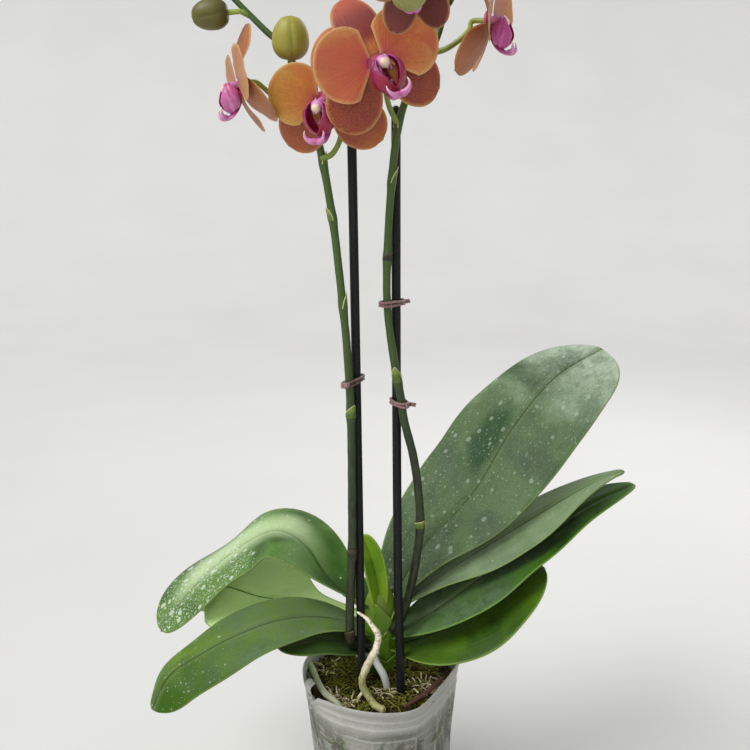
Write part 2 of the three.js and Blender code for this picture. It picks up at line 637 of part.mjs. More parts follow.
function bloom(name, { centre, facing, roll, size, lipTurn, petals, sepals }) {
  const forward = vec(facing).normalize();
  const rightward = new THREE.Vector3(0, 0, 1).cross(forward).normalize();
  const upward = new THREE.Vector3().crossVectors(forward, rightward);
  const group = new THREE.Group();
  group.quaternion.setFromRotationMatrix(new THREE.Matrix4().makeBasis(rightward, upward, forward));
  group.rotateZ(rad(roll));
  group.position.set(...centre);
  group.scale.setScalar(size);
  const sideSepal = (side, angle, step) =>
    sepal({
      ...SIDE_SEPAL,
      direction: -90 + side * angle,
      width: sepals.width,
      bend: sepals.bend,
      skew: side * SIDE_SEPAL.skew,
      step,
    });
  const backSepal = sepal({ ...BACK_SEPAL, direction: 90 + sepals.lean });
  addMesh(group, `${name}_back_sepal`, backSepal, "petalOrange");
  addMesh(group, `${name}_left_sepal`, sideSepal(-1, sepals.angles[0], 0), "sepalRed");
  addMesh(group, `${name}_right_sepal`, sideSepal(1, sepals.angles[1], sepals.step), "sepalRed");
  addMesh(group, `${name}_left_petal`, petal(petals, -1), "petalOrange");
  addMesh(group, `${name}_right_petal`, petal(petals, 1), "petalOrange");
  const turned = new THREE.Group();
  turned.position.z = Math.abs(lipTurn) * TURN_LIFT;
  turned.rotateY(rad(lipTurn));
  addMesh(turned, `${name}_lip`, lip(), "lipMagenta");
  addMesh(turned, `${name}_column`, column(), "columnPink");
  group.add(turned);
  part.add(group);
}

function bud(name, { centre, towards, length, width }) {
  const outline = BUD_OUTLINE.map(([r, t]) => new THREE.Vector2((r * width) / 2, (t - 0.5) * length));
  const geometry = new THREE.LatheGeometry(outline, BUD_SIDES);
  const [lengthwise, aim] = [new THREE.Vector3(0, 1, 0), vec(towards).normalize()];
  geometry.applyQuaternion(new THREE.Quaternion().setFromUnitVectors(lengthwise, aim));
  geometry.translate(...centre);
  addMesh(part, name, geometry, "budGreen");
}

pot();
growingMedium();
addMesh(part, "leaf_crown", crownShape(0), "crownGreen");
Object.entries(LEAVES).forEach(([name, shape]) => leaf(name, shape));
Object.entries(STAKES).forEach(([name, path]) => {
  addMesh(part, name, stakeTube(path, STAKE.radius), "stakeBlack");
});
Object.entries(SPIKES).forEach(([name, shape]) => spike(name, shape));
Object.entries(TIES).forEach(([name, shape]) => tie(name, shape));
Object.entries(ROOTS).forEach(([name, { radii, path }]) => {
  const root = tube(path, radii, 6, path.length + 3);
  addMesh(part, name, trimmed(root, crownCutter), "rootGrey");
});
Object.entries(BLOOMS).forEach(([name, shape]) => bloom(name, shape));
Object.entries(BUDS).forEach(([name, shape]) => bud(name, shape));

export default part;
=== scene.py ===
import math
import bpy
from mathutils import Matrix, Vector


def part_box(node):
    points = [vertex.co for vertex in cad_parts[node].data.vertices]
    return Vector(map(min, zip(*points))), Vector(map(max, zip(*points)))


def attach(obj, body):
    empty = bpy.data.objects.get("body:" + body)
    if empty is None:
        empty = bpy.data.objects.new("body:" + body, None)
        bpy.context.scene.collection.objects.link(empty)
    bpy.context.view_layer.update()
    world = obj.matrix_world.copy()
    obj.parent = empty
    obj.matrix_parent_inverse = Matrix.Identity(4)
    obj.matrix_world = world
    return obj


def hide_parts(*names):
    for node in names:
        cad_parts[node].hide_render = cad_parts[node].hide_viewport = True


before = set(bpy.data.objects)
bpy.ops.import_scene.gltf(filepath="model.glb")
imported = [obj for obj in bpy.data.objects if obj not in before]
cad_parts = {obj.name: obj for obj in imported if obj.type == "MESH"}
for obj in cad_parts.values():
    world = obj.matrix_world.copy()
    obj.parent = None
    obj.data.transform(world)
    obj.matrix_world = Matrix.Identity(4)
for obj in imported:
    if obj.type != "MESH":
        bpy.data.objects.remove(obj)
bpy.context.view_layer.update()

from types import SimpleNamespace as Sizes

import bpy
import numpy as np
from mathutils import Vector

# The pot is a thin nursery pot of milky translucent plastic, blown in one piece, with a rolled rim and five
# fine bands moulded under it. Years of use have creased it, stained it green with algae and torn its rim at
# the left, and its front right side is pressed nearly flat.
MM = 0.001
POT = Sizes(height=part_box("pot")[1].z / MM, rim=-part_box("pot")[0].x / MM, foot=45, floor=2, wall=1.2, lip=1,
            lip_height=4, columns=216)
PRESS = Sizes(direction=math.radians(-28), left=47, roundness=14, fade=1.4)
BANDS = Sizes(heights=(98, 100.2, 102.4, 104.6, 106.8), rise=0.5, width=0.4)
# Creases in the wall: direction in degrees at the rim and at the foot, width in degrees, and depth.
CREASES = [(-122, -113, 2.2, 1.5), (-97, -101, 1.3, 0.8), (-66, -70, 1.5, 1.3), (-39, -50, 2, 1.6),
           (-12, -4, 1.7, 1.2), (30, 22, 2, 1.1), (78, 84, 1.6, 0.9), (131, 124, 2.2, 1.3),
           (171, 178, 1.5, 0.9), (-158, -150, 1.8, 1.1)]
TEAR = Sizes(direction=math.radians(203), width=math.radians(15), depth=9)
DRAIN = Sizes(holes=8, radius=3.5, circle=27)


def unit(vectors):
    return vectors / np.maximum(np.linalg.norm(vectors, axis=-1, keepdims=True), 1e-9)


def ease(low, high, value):
    """0 below low, 1 above high and a smooth step between them."""
    share = np.clip((np.asarray(value, float) - low) / (high - low), 0, 1)
    return share * share * (3 - 2 * share)


def hill(distance, width):
    """1 at no distance, which falls off smoothly to either side."""
    return np.exp(-((distance / width) ** 2))


def between(low, high):
    """Faces from each ring of corners to the next, closed round."""
    after, above = np.roll(low, -1, -1), np.roll(high, -1, -1)
    return np.stack([low, after, above, high], -1).reshape(-1, 4).tolist()


def ring_form(rings, tips=None, **marks):
    """A closed form, which is points in millimetres, faces and named marks on the points, from rings of
    points. Its two ends are flat or run to a tip each."""
    rings = np.asarray(rings, float)
    index = np.arange(rings.shape[0] * rings.shape[1]).reshape(rings.shape[:2])
    points, faces = rings.reshape(-1, 3), between(index[:-1], index[1:])
    if tips is None:
        return points, faces + [index[0][::-1].tolist(), index[-1].tolist()], marks
    last = len(points)
    faces += [[b, a, last] for a, b in zip(index[0], np.roll(index[0], -1))]
    faces += [[a, b, last + 1] for a, b in zip(index[-1], np.roll(index[-1], -1))]
    return np.vstack([points, tips]), faces, marks


def sheet_form(rows, thickness, closed_base=True, **marks):
    """A sheet with a rounded rim about a grid of points. Its marks say how far each point is along it and
    across it, how many millimetres it is aside and in from the rim, and whether it is on the back."""
    rows = np.asarray(rows, float)
    m, n = rows.shape[:2]
    size = m * n
    half = np.broadcast_to(np.asarray(thickness, float), (m, n))[..., None] / 2
    normal = unit(np.cross(np.gradient(rows, axis=0), np.gradient(rows, axis=1)))
    index = np.arange(size).reshape(m, n)
    border = np.concatenate([index[:-1, 0], index[-1, :-1], index[:0:-1, -1], index[0, :0:-1]])
    ri, rj = np.divmod(border, n)
    outward = unit(rows[ri, rj] - rows[np.clip(ri, 1, m - 2), np.clip(rj, 1, n - 2)])
    edge = rows[ri, rj] + outward * half[ri, rj]
    points = np.vstack([(rows + normal * half).reshape(-1, 3), (rows - normal * half).reshape(-1, 3), edge])
    front = np.stack([index[:-1, :-1], index[1:, :-1], index[1:, 1:], index[:-1, 1:]], -1).reshape(-1, 4)
    rim = 2 * size + np.arange(len(border))
    faces = front.tolist() + (front[:, [0, 3, 2, 1]] + size).tolist()
    faces += np.roll(between(rim, border) + between(border + size, rim), 1, -1).tolist()
    free = rows[ri, rj][ri > 0 if closed_base else ri >= 0]
    aside = np.linalg.norm(rows - rows[:, n // 2][:, None], axis=2) * np.sign(np.arange(n) - n // 2)
    grids = {"along": np.linspace(0, 1, m)[:, None], "across": np.linspace(-1, 1, n), "across_mm": aside,
             "rim": np.sqrt(((rows.reshape(-1, 1, 3) - free[None]) ** 2).sum(2)).min(1).reshape(m, n),
             **marks}
    grids = {key: np.broadcast_to(value, (m, n)).ravel() for key, value in grids.items()}
    grids = {key: np.concatenate([value, value, value[border]]) for key, value in grids.items()}
    return points, faces, {**grids, "back": np.repeat([0, 1, 0.5], [size, size, len(border)])}


def joined(*forms):
    """One form from several."""
    keys = {key for form in forms for key in form[2]}
    starts = np.cumsum([0] + [len(points) for points, _, _ in forms])
    faces = [[corner + start for corner in face] for start, form in zip(starts, forms) for face in form[1]]
    marks = {key: [np.broadcast_to(form[2].get(key, 0), len(form[0])) for form in forms] for key in keys}
    return np.vstack([form[0] for form in forms]), faces, {key: np.concatenate(marks[key]) for key in keys}


def mark_points(mesh, marks):
    for key, values in marks.items():
        values = np.asarray(values, np.float32).ravel()
        mesh.attributes.new(key, "FLOAT", "POINT").data.foreach_set("value", values)


def piece_of(name, shape, material=None, stands_for=None):
    """A finished piece of the plant from a form or a mesh, which may take the place of a plain one."""
    mesh = shape
    if isinstance(shape, tuple):
        mesh = bpy.data.meshes.new(name)
        mesh.from_pydata((np.asarray(shape[0]) * MM).tolist(), [], shape[1])
        mark_points(mesh, shape[2])
        mesh.shade_smooth()
    mesh.name = name
    piece = bpy.data.objects.new(name, mesh)
    bpy.context.scene.collection.objects.link(piece)
    if material:
        mesh.materials.clear()
        mesh.materials.append(material)
    if stands_for:
        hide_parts(stands_for)
    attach(piece, "root")


def wall_radius(z):
    return POT.foot + (POT.rim - POT.lip - POT.foot) / POT.height * z


def pressed(radius, angle, height):
    """The radius of a point of the squeezed pot that would be at this radius in a round one."""
    facing = np.cos(angle - PRESS.direction)
    flat = np.maximum(facing, 1e-6) / (PRESS.left / POT.rim)
    squeezed = (1 + flat ** PRESS.roundness) ** (-1 / PRESS.roundness) * radius
    share = np.clip(height / POT.height, 0, 1) ** PRESS.fade
    return radius + (squeezed - radius) * share * (facing > 0)


def wall_relief(angle, height):
    """How far the wall stands out, for its bands, creases and gentle buckling, and how creased it is."""
    turn = (np.degrees(angle) + 180) % 360 - 180
    ridges = sum(hill(height - z, BANDS.width) for z in BANDS.heights)
    share = np.clip(height / POT.height, 0, 1)
    reach = ease(0.02, 0.3, share) * (1 - 0.75 * ease(0.84, 0.97, share))
    relief, creased = BANDS.rise * ridges, 0.6 * ridges
    for rim_turn, foot_turn, width, depth in CREASES:
        apart = (turn - (foot_turn + (rim_turn - foot_turn) * share) + 180) % 360 - 180
        ridge = hill(apart, width) - 0.6 * hill(apart - 2 * width, 1.6 * width)
        relief = relief + depth * reach * ridge * (0.65 + 0.35 * np.sin(9 * share + rim_turn))
        creased = creased + reach * hill(apart, 0.9) * (0.6 + 0.4 * np.sin(13 * share + foot_turn))
    buckle = np.sin(5 * angle + 4 * share) * np.sin(7 * share + 2 * angle)
    buckle = buckle + 0.6 * np.sin(11 * angle - 6 * share)
    return relief + 0.55 * reach * buckle, creased


def pot_form():
    top, lip_foot = POT.height, POT.height - POT.lip_height
    wall = [(wall_radius(z), z) for z in np.linspace(3, lip_foot - 1, 66)]
    lip = [(wall_radius(lip_foot) + 0.9, lip_foot), (POT.rim - 0.1, lip_foot + 1.2), (POT.rim, top - 1),
           (POT.rim - 0.3, top - 0.2), (POT.rim - 0.8, top), (POT.rim - 1.2, top - 0.4)]
    inner = [(r - POT.wall, z) for r, z in reversed(wall)]
    foot = [(POT.foot - 2.5, 0), (POT.foot - 0.8, 0.3), (POT.foot, 1.4)]
    profile = np.array(foot + wall + lip + inner + [(POT.foot - 3.5, POT.floor), (POT.foot - 3.5, 0)])
    radius, z = profile[:, :1], profile[:, 1:]
    angle = np.linspace(0, math.tau, POT.columns, endpoint=False)[None]
    stands_out, creased = wall_relief(angle, z)
    torn = hill(angle - TEAR.direction, TEAR.width) * ease(0.78, 1, z / top)
    far = pressed(radius, angle, z) + stands_out * (radius > POT.foot - 1) - 3.2 * torn
    waved = 0.5 * np.sin(3 * angle + 1) * ease(0.8, 1, z / top)
    z = z - TEAR.depth * torn * (1 + 0.16 * np.sin(31 * angle)) + waved
    index = np.arange(far.size).reshape(far.shape)
    points = np.stack([far * np.cos(angle), far * np.sin(angle), z], -1).reshape(-1, 3)
    return points, between(index, np.roll(index, -1, 0)), {"crease": creased.ravel()}


def flap_form():
    """The torn strip of rim, which stands up and curls over outside the tear."""
    share, q = np.linspace(0, 1, 14)[:, None], np.linspace(-1, 1, 9)[None]
    width = 8.5 * (1 - 0.55 * share) * (1 + 0.12 * np.sin(9 * share))
    angle = TEAR.direction - 0.03 + q * width / POT.rim + 0.06 * share
    radius = POT.rim - 3.6 + 5.5 * share - 7 * share ** 3 + 0.8 * q * q
    z = POT.height - 9 + 15 * share - 4 * share ** 3 + 0.9 * np.sin(4 * q + 5 * share)
    return sheet_form(np.stack([radius * np.cos(angle), radius * np.sin(angle), z], -1), 0.7)


class Field:
    """What a node puts out. Worked with like a number, it adds the node for each step."""

    def __init__(self, socket):
        self.socket = socket

    def other(self, name):
        """Another of the same node's outputs."""
        return Field(self.socket.node.outputs[name])

    def __abs__(self):
        return worked("ABSOLUTE", self)


at_hand = Sizes(tree=None)
for sign, operation in (("add", "ADD"), ("sub", "SUBTRACT"), ("mul", "MULTIPLY")):
    setattr(Field, f"__{sign}__", lambda a, b, operation=operation: worked(operation, a, b))
    setattr(Field, f"__r{sign}__", lambda a, b, operation=operation: worked(operation, b, a))


def put(kind, *inputs, out=0, at=None, **named):
    """A node in the tree at hand, and what it puts out. Inputs come in order, at a place or by a name with
    a capital letter, each as a value or a field, and settings by a name with a small letter."""
    node = at_hand.tree.nodes.new(kind)
    taken = {**{place: value for place, value in enumerate(inputs) if value is not None}, **(at or {})}
    for key, value in named.items():
        if key[0].isupper():
            taken[key.replace("_", " ")] = value
        else:
            setattr(node, key, value)
    for key, value in taken.items():
        if isinstance(value, Field):
            at_hand.tree.links.new(value.socket, node.inputs[key])
        else:
            node.inputs[key].default_value = value
    return Field(node.outputs[out]) if node.outputs else node


def worked(operation, *inputs):
    return put("ShaderNodeMath", *inputs, operation=operation)


def band(value, low, high, to_low=0.0, to_high=1.0):
    """The value brought smoothly from the span low to high onto another."""
    return put("ShaderNodeMapRange", value, low, high, to_low, to_high, interpolation_type="SMOOTHSTEP")


def mixed(share, first, second):
    return put("ShaderNodeMix", at={0: share, 6: first, 7: second}, data_type="RGBA", out=2)


def noise(where, scale, detail=3.0, twist=0.0):
    return put("ShaderNodeTexNoise", Vector=where, Scale=scale, Detail=detail, Distortion=twist)


def stretched(where, scale, turn=(0.0, 0.0, 0.0)):
    return put("ShaderNodeMapping", where, None, turn, scale)


def mark_of(name):
    return put("ShaderNodeAttribute", attribute_name=name, out="Fac")


def in_place():
    return put("ShaderNodeTexCoord", out="Object")


def titled(key):
    return key.replace("_", " ").title().replace("Ior", "IOR")


def hue(red, green, blue):
    """A colour as the eye reads it, 0 to 255 a channel, made linear."""
    shades = [c / 255 for c in (red, green, blue)]
    return (*[c / 12.92 if c < 0.0392 else ((c + 0.055) / 1.055) ** 2.4 for c in shades], 1.0)


def new_finish(name, roughness=0.5, **constants):
    """A material, whose tree is now at hand, with the values that are the same all over it."""
    material = bpy.data.materials.new(name)
    material.use_nodes = True
    at_hand.tree = material.node_tree
    for key, value in {"roughness": roughness, **constants}.items():
        at_hand.tree.nodes["Principled BSDF"].inputs[titled(key)].default_value = value
    return material


def finished(material, distance, **fields):
    """The material with fields joined to its shader, of which height becomes relief this deep."""
    if "height" in fields:
        fields["normal"] = put("ShaderNodeBump", Height=fields.pop("height"), Distance=distance,
                               Strength=1.0)
    for key, field in fields.items():
        at_hand.tree.links.new(field.socket, at_hand.tree.nodes["Principled BSDF"].inputs[titled(key)])
    return material


def pot_finish():
    material = new_finish("milky_pot_plastic", 0.38, ior=1.46, transmission_weight=0.12,
                          specular_ior_level=0.45)
    where = in_place()
    height = put("ShaderNodeSeparateXYZ", where, out=2)
    haze = noise(where, 24, 6, 0.6)
    colour = mixed(band(haze, 0.3, 0.7), hue(102, 104, 92), hue(150, 150, 140))
    colour = mixed(band(height, 0.094, 0.101, 0, 0.7), colour, hue(186, 185, 178))
    # Fine pale horizontal lines over the wall are painted highlights.
    lines = noise(stretched(where, (8, 8, 900)), 1, 2)
    colour = mixed(band(lines, 0.56, 0.66, 0, 0.45), colour, hue(200, 200, 194))
    soil = band(noise(stretched(where, (42, 42, 30)), 1, 6, 1.2), 0.47, 0.58)
    colour = mixed(soil * band(height, 0.1, 0.08, 0, 0.85), colour, hue(64, 60, 44))
    slime = band(noise(stretched(where, (34, 34, 62), (0.5, 0.3, 0)), 1, 5, 2.2), 0.54, 0.62)
    colour = mixed(slime * band(height, 0.099, 0.085, 0, 0.85), colour, hue(72, 90, 42))
    frost = noise(where, 520, 4)
    colour = mixed(band(frost, 0.52, 0.72, 0, 0.4), colour, hue(196, 196, 188))
    creased = mark_of("crease")
    colour = mixed(band(creased, 0.2, 1, 0, 0.75), colour, hue(214, 213, 206))
    rough = band(frost, 0.35, 0.7, 0.3, 0.5)
    return finished(material, 0.0005, base_color=colour, roughness=rough,
                    height=haze * 1.5 + frost * 0.3 + creased)


def group_of(kind, name, gives, **takes):
    """A new group of nodes, now at hand, and what it is given. It takes each thing by a name, with its
    usual value or its kind."""
    tree = at_hand.tree = bpy.data.node_groups.new(name, kind + "NodeTree")
    for key, value in takes.items():
        socket = value if isinstance(value, str) else "Color" if isinstance(value, tuple) else "Float"
        item = tree.interface.new_socket(name=titled(key), in_out="INPUT",
                                         socket_type="NodeSocket" + socket)
        if not isinstance(value, str):
            item.default_value = hue(*value) if socket == "Color" else value
    for key, socket in gives.items():
        tree.interface.new_socket(name=key, in_out="OUTPUT", socket_type="NodeSocket" + socket)
    given = put("NodeGroupInput")
    return tree, Sizes(**{key: given.other(titled(key)) for key in takes})


def growing(name, **takes):
    return group_of("Geometry", name, {"Geometry": "Geometry"}, **takes, material="Material")


def grown(geometry, material, smooth=True):
    """The end of a growing tree: plain faces of one material."""
    real = put("GeometryNodeRealizeInstances", geometry)
    if smooth:
        real = put("GeometryNodeSetShadeSmooth", real)
    put("NodeGroupOutput", put("GeometryNodeSetMaterial", real, Material=material))


def drilled_plate_tree():
    """The pot's floor: a disc with a ring of round drain holes cut through it."""
    tree, given = growing("drilled_plate", radius="Float", thickness="Float", hole_radius="Float",
                          hole_circle="Float", holes="Int")
    plate = put("GeometryNodeMeshCylinder", Vertices=96, Radius=given.radius, Depth=given.thickness)
    lift = put("ShaderNodeCombineXYZ", None, None, given.thickness * 0.5)
    plate = put("GeometryNodeTransform", plate, Translation=lift)
    bit = put("GeometryNodeMeshCylinder", Vertices=24, Radius=given.hole_radius, Depth=0.02)
    circle = put("GeometryNodeMeshCircle", Vertices=given.holes, Radius=given.hole_circle)
    bits = put("GeometryNodeRealizeInstances", put("GeometryNodeInstanceOnPoints", circle, Instance=bit))
    grown(put("GeometryNodeMeshBoolean", plate, bits, operation="DIFFERENCE"), given.material, False)
    return tree


def grown_mesh(tree, base=None, **values):
    """The plain mesh that a growing tree makes from a base mesh with these inputs."""
    start = bpy.data.objects.new("start", base or bpy.data.meshes.new("start"))
    bpy.context.scene.collection.objects.link(start)
    modifier = start.modifiers.new("growth", "NODES")
    modifier.node_group = tree
    values = {titled(key): value for key, value in values.items()}
    for item in tree.interface.items_tree:
        if item.in_out == "INPUT" and item.name in values:
            modifier[item.identifier] = values[item.name]
    graph = bpy.context.evaluated_depsgraph_get()
    mesh = bpy.data.meshes.new_from_object(start.evaluated_get(graph), depsgraph=graph)
    start.modifiers.remove(modifier)
    bpy.data.objects.remove(start)
    return mesh


pot_plastic = pot_finish()
piece_of("pot_wall", joined(pot_form(), flap_form()), pot_plastic, "pot")
pot_floor = grown_mesh(drilled_plate_tree(), radius=(POT.foot - 3) * MM, thickness=POT.floor * MM,
                       holes=DRAIN.holes, hole_radius=DRAIN.radius * MM, hole_circle=DRAIN.circle * MM,
                       material=pot_plastic)
piece_of("pot_floor", pot_floor)


# The pot is filled with damp, dark sphagnum moss and chips of pine bark, packed loosely round the roots.
# Its top is lumpy and tufted, with dry straw-coloured wisps, white flecks and a reddish strip of bark on
# it.
MEDIUM = Sizes(edge=103.2, top=104.6, clearance=1.2, rings=26, columns=120)
WHOLE_TOP = [(-4, 3, 39), (-24, 14, 26), (4, 26, 24)]
STRAW_TUFTS = [(-26, -30, 5), (-33, -24, 5), (3, -24, 7), (24, -12, 6), (36, -10, 7), (-8, 34, 8),
               (-40, 12, 7)]
FRESH_TUFTS = [(12, -34, 5), (22, -30, 6), (-16, -40, 6), (-2, -8, 6), (34, 22, 8)]
BARK_STRIP = [(14, -41, 108.5), (24, -31, 109.5), (34, -18, 110), (39, -8, 109)]


def lumps(x, y, size, seed):
    """Gentle hills, -1 to 1, of about this size, which are the same on each run."""
    turns = [seed + 2.4 * k for k in range(5)]
    pitches = [math.tau / (size * (0.75 + 0.13 * k)) for k in range(5)]
    return sum(np.sin(pitches[k] * (x * math.cos(turns[k]) + y * math.sin(turns[k])) + 1.7 * seed * k)
               for k in range(5)) / 2.6


def medium_height(x, y):
    share = np.clip(1 - np.hypot(x, y) / 50, 0, 1)
    rise = MEDIUM.edge + (MEDIUM.top - MEDIUM.edge) * share
    return rise + 0.9 * lumps(x, y, 21, 1.3) + 0.7 * lumps(x, y, 8, 4.1) + 0.3 * lumps(x, y, 3.6, 2.2)


def medium_form():
    angle = np.linspace(0, math.tau, MEDIUM.columns, endpoint=False)
    rings = []
    for z in [POT.floor + 0.5, 20, 40, 60, 80, 96, MEDIUM.edge - 1.5]:
        edge = pressed(wall_radius(z) - POT.wall - MEDIUM.clearance, angle, z)
        rings.append(np.stack([edge * np.cos(angle), edge * np.sin(angle), z + 0 * angle], -1))
    for share in np.linspace(0.985, 0.03, MEDIUM.rings):
        x, y = edge * share * np.cos(angle), edge * share * np.sin(angle)
        rings.append(np.stack([x, y, medium_height(x, y)], -1))
    return ring_form(rings, [[0, 0, POT.floor + 0.5], [0, 0, MEDIUM.top]])


def moss_finish(name, dark, middle, pale, scale=260):
    material = new_finish(name, 0.95, specular_ior_level=0.25)
    where = in_place()
    grain = noise(where, scale, 6, 0.6)
    colour = mixed(band(grain, 0.3, 0.56), hue(*dark), hue(*middle))
    colour = mixed(band(noise(where, scale * 1.9, 4), 0.56, 0.72, 0, 0.8), colour, hue(*pale))
    return finished(material, 0.0015, base_color=colour, roughness=band(grain, 0.3, 0.7, 0.8, 1.0),
                    height=grain)


def scattered_tree():
    """Strands or chips of one kind, strewn over a surface and turned at random. A strand is a bent thread,
    and a chip is a rough sliver."""
    tree, given = growing("strewn_moss", geometry="Geometry", count_per_metre="Float", seed="Int",
                          length="Float", thickness="Float", bend="Float", upright="Float", chips="Bool")
    strewn = put("GeometryNodeDistributePointsOnFaces", given.geometry, Density=given.count_per_metre,
                 Seed=given.seed)
    middle = put("ShaderNodeCombineXYZ", given.length * 0.5, None, given.length * given.bend)
    thread = put("GeometryNodeCurveQuadraticBezier", 5, (0, 0, 0), middle,
                 put("ShaderNodeCombineXYZ", given.length))
    round_it = put("GeometryNodeCurvePrimitiveCircle", Resolution=3, Radius=given.thickness)
    strand = put("GeometryNodeCurveToMesh", thread, round_it, Fill_Caps=True)
    size = put("ShaderNodeCombineXYZ", given.length, given.length * 0.55, given.thickness)
    chip = put("GeometryNodeMeshCube", size, 3, 3, 2)
    rough = put("ShaderNodeTexNoise", Scale=300.0, Detail=1.0).other("Color")
    shift = put("ShaderNodeVectorMath", rough, (0.5, 0.5, 0.5), operation="SUBTRACT")
    push = put("ShaderNodeVectorMath", shift, Scale=given.length * 0.5, operation="SCALE")
    chip = put("GeometryNodeSetPosition", chip, Offset=push)
    kind = put("GeometryNodeSwitch", given.chips, strand, chip)
    tilt = put("FunctionNodeRandomValue", (-0.5, -0.2, 0), (0.5, 0.2, math.tau), Seed=3,
               data_type="FLOAT_VECTOR")
    lean = put("ShaderNodeCombineXYZ", None, given.upright * -1.0)
    turned = put("ShaderNodeVectorMath", tilt, lean, operation="ADD")
    size = put("FunctionNodeRandomValue", at={2: 0.5, 3: 1.3}, Seed=8, data_type="FLOAT", out=1)
    grown(put("GeometryNodeInstanceOnPoints", strewn, Instance=kind, Rotation=turned, Scale=size),
          given.material)
    return tree


def patch_mesh(discs):
    """Small level discs on the medium for strands to grow from, each given as x, y and radius."""
    turn = np.linspace(0, math.tau, 10, endpoint=False)
    points = [(x + radius * np.cos(turn), y + radius * np.sin(turn)) for x, y, radius in discs]
    points = [np.stack([x, y, medium_height(x, y) - 0.3], -1) for x, y in points]
    mesh = bpy.data.meshes.new("patches")
    faces = np.arange(10 * len(discs)).reshape(-1, 10).tolist()
    mesh.from_pydata((np.vstack(points) * MM).tolist(), [], faces)
    return mesh


moss = moss_finish("damp_moss", (22, 16, 8), (62, 48, 24), (112, 92, 52))
green_moss = moss_finish("green_moss", (64, 68, 14), (118, 118, 34), (176, 168, 90))
straw = moss_finish("dry_straw_moss", (168, 150, 112), (214, 200, 164), (240, 234, 214))
bark = moss_finish("pine_bark", (56, 34, 24), (112, 70, 50), (150, 112, 84), 180)
white_fleck = moss_finish("white_fleck", (186, 172, 164), (214, 204, 198), (232, 228, 222))
piece_of("medium", medium_form(), moss, "growing_medium")
strew = scattered_tree()
kinds = [
    ("moss_strands", WHOLE_TOP, 170000, 11, 11, 0.34, 0.6, 0.25, False, green_moss),
    ("moss_threads", WHOLE_TOP, 200000, 12, 8.5, 0.42, 0.5, 0.3, False, moss),
    ("straw_wisps", STRAW_TUFTS, 170000, 13, 9, 0.5, 0.6, 0.5, False, straw),
    ("straw_flakes", STRAW_TUFTS, 110000, 17, 4.6, 0.6, 0, 0.5, True, straw),
    ("fresh_tufts", FRESH_TUFTS, 420000, 14, 7.5, 0.36, 0.3, 0.6, False, green_moss),
    ("bark_chips", WHOLE_TOP, 26000, 15, 7.5, 2.2, 0, 0.1, True, bark),
    ("white_flecks", WHOLE_TOP, 14000, 16, 4, 0.7, 0, 0.3, True, white_fleck),
]
for kind, discs, per_metre, seed, length, thickness, bend, upright, chips, finish in kinds:
    strewn = grown_mesh(strew, patch_mesh(discs), count_per_metre=float(per_metre), seed=seed, chips=chips,
                        length=length * MM, thickness=thickness * MM, bend=float(bend),
                        upright=float(upright), material=finish)
    piece_of(kind, strewn)


def smooth_path(points, shares):
    """Points of a smooth curve through the given ones, which are spaced evenly along its parameter."""
    points = np.asarray(points, float)
    points = np.vstack([2 * points[0] - points[1], points, 2 * points[-1] - points[-2]])
    where = np.clip(np.asarray(shares, float), 0, 1) * (len(points) - 3)
    k = np.minimum(where.astype(int), len(points) - 4)
    t = (where - k)[:, None]
    a, b, c, d = points[k], points[k + 1], points[k + 2], points[k + 3]
    curved = (2 * a - 5 * b + 4 * c - d) * t ** 2 + (3 * b - a - 3 * c + d) * t ** 3
    return 0.5 * (2 * b + (c - a) * t + curved)


def bark_strip_form(drop, shift):
    """One of two long reddish strips that lie side by side on the moss, up to the rim."""
    shares, q = np.linspace(0, 1, 30), np.linspace(1, -1, 9)
    route = smooth_path(BARK_STRIP, shares) + np.array([shift, shift, drop])
    beside = unit(np.cross(np.gradient(route, axis=0), [0, 0, 1.0]))
    rows = route[:, None] + beside[:, None] * (q * 1.5)[None, :, None]
    rows[..., 2] += 0.6 * (1 - q ** 2) + 0.35 * np.sin(14 * shares)[:, None] * q
    return sheet_form(rows, 0.9)


red_bark = moss_finish("red_bark_strip", (52, 30, 26), (84, 54, 48), (128, 98, 88), 240)
piece_of("bark_strip", joined(bark_strip_form(0, 0), bark_strip_form(0.4, 3.4)), red_bark)


# Two slim stakes of black plastic-coated rod are pushed down through the moss, and carry the flower spikes.
# The coating is slightly matt, with fine moulding dots, and is pinched round at the top.
STAKE_RADIUS = 3
STAKES = {
    "stake_left": [[-14.4, -18, 20], [-16, -18, 117], [-18.6, -18, 310], [-21.5, -18, 510]],
    "stake_right": [[12.6, -21.5, 20], [11.5, -21.2, 119], [9.3, -16.6, 197], [7.6, -12.6, 350],
                    [6.6, -12, 510]],
}


def even_shares(points, shares):
    """The parameter of the curve through these points at each share of its length, and that length."""
    fine = np.linspace(0, 1, 60 * len(points))
    steps = np.linalg.norm(np.diff(smooth_path(points, fine), axis=0), axis=1)
    length = np.concatenate([[0], np.cumsum(steps)])
    return np.interp(np.asarray(shares, float) * length[-1], length, fine), length[-1]


def even_path(points, shares):
    return smooth_path(points, even_shares(points, shares)[0])


def value_along(values, shares):
    """The value at each share of the way along a smooth run through evenly spaced values."""
    return smooth_path([[v, 0, 0] for v in values], shares)[:, 0]


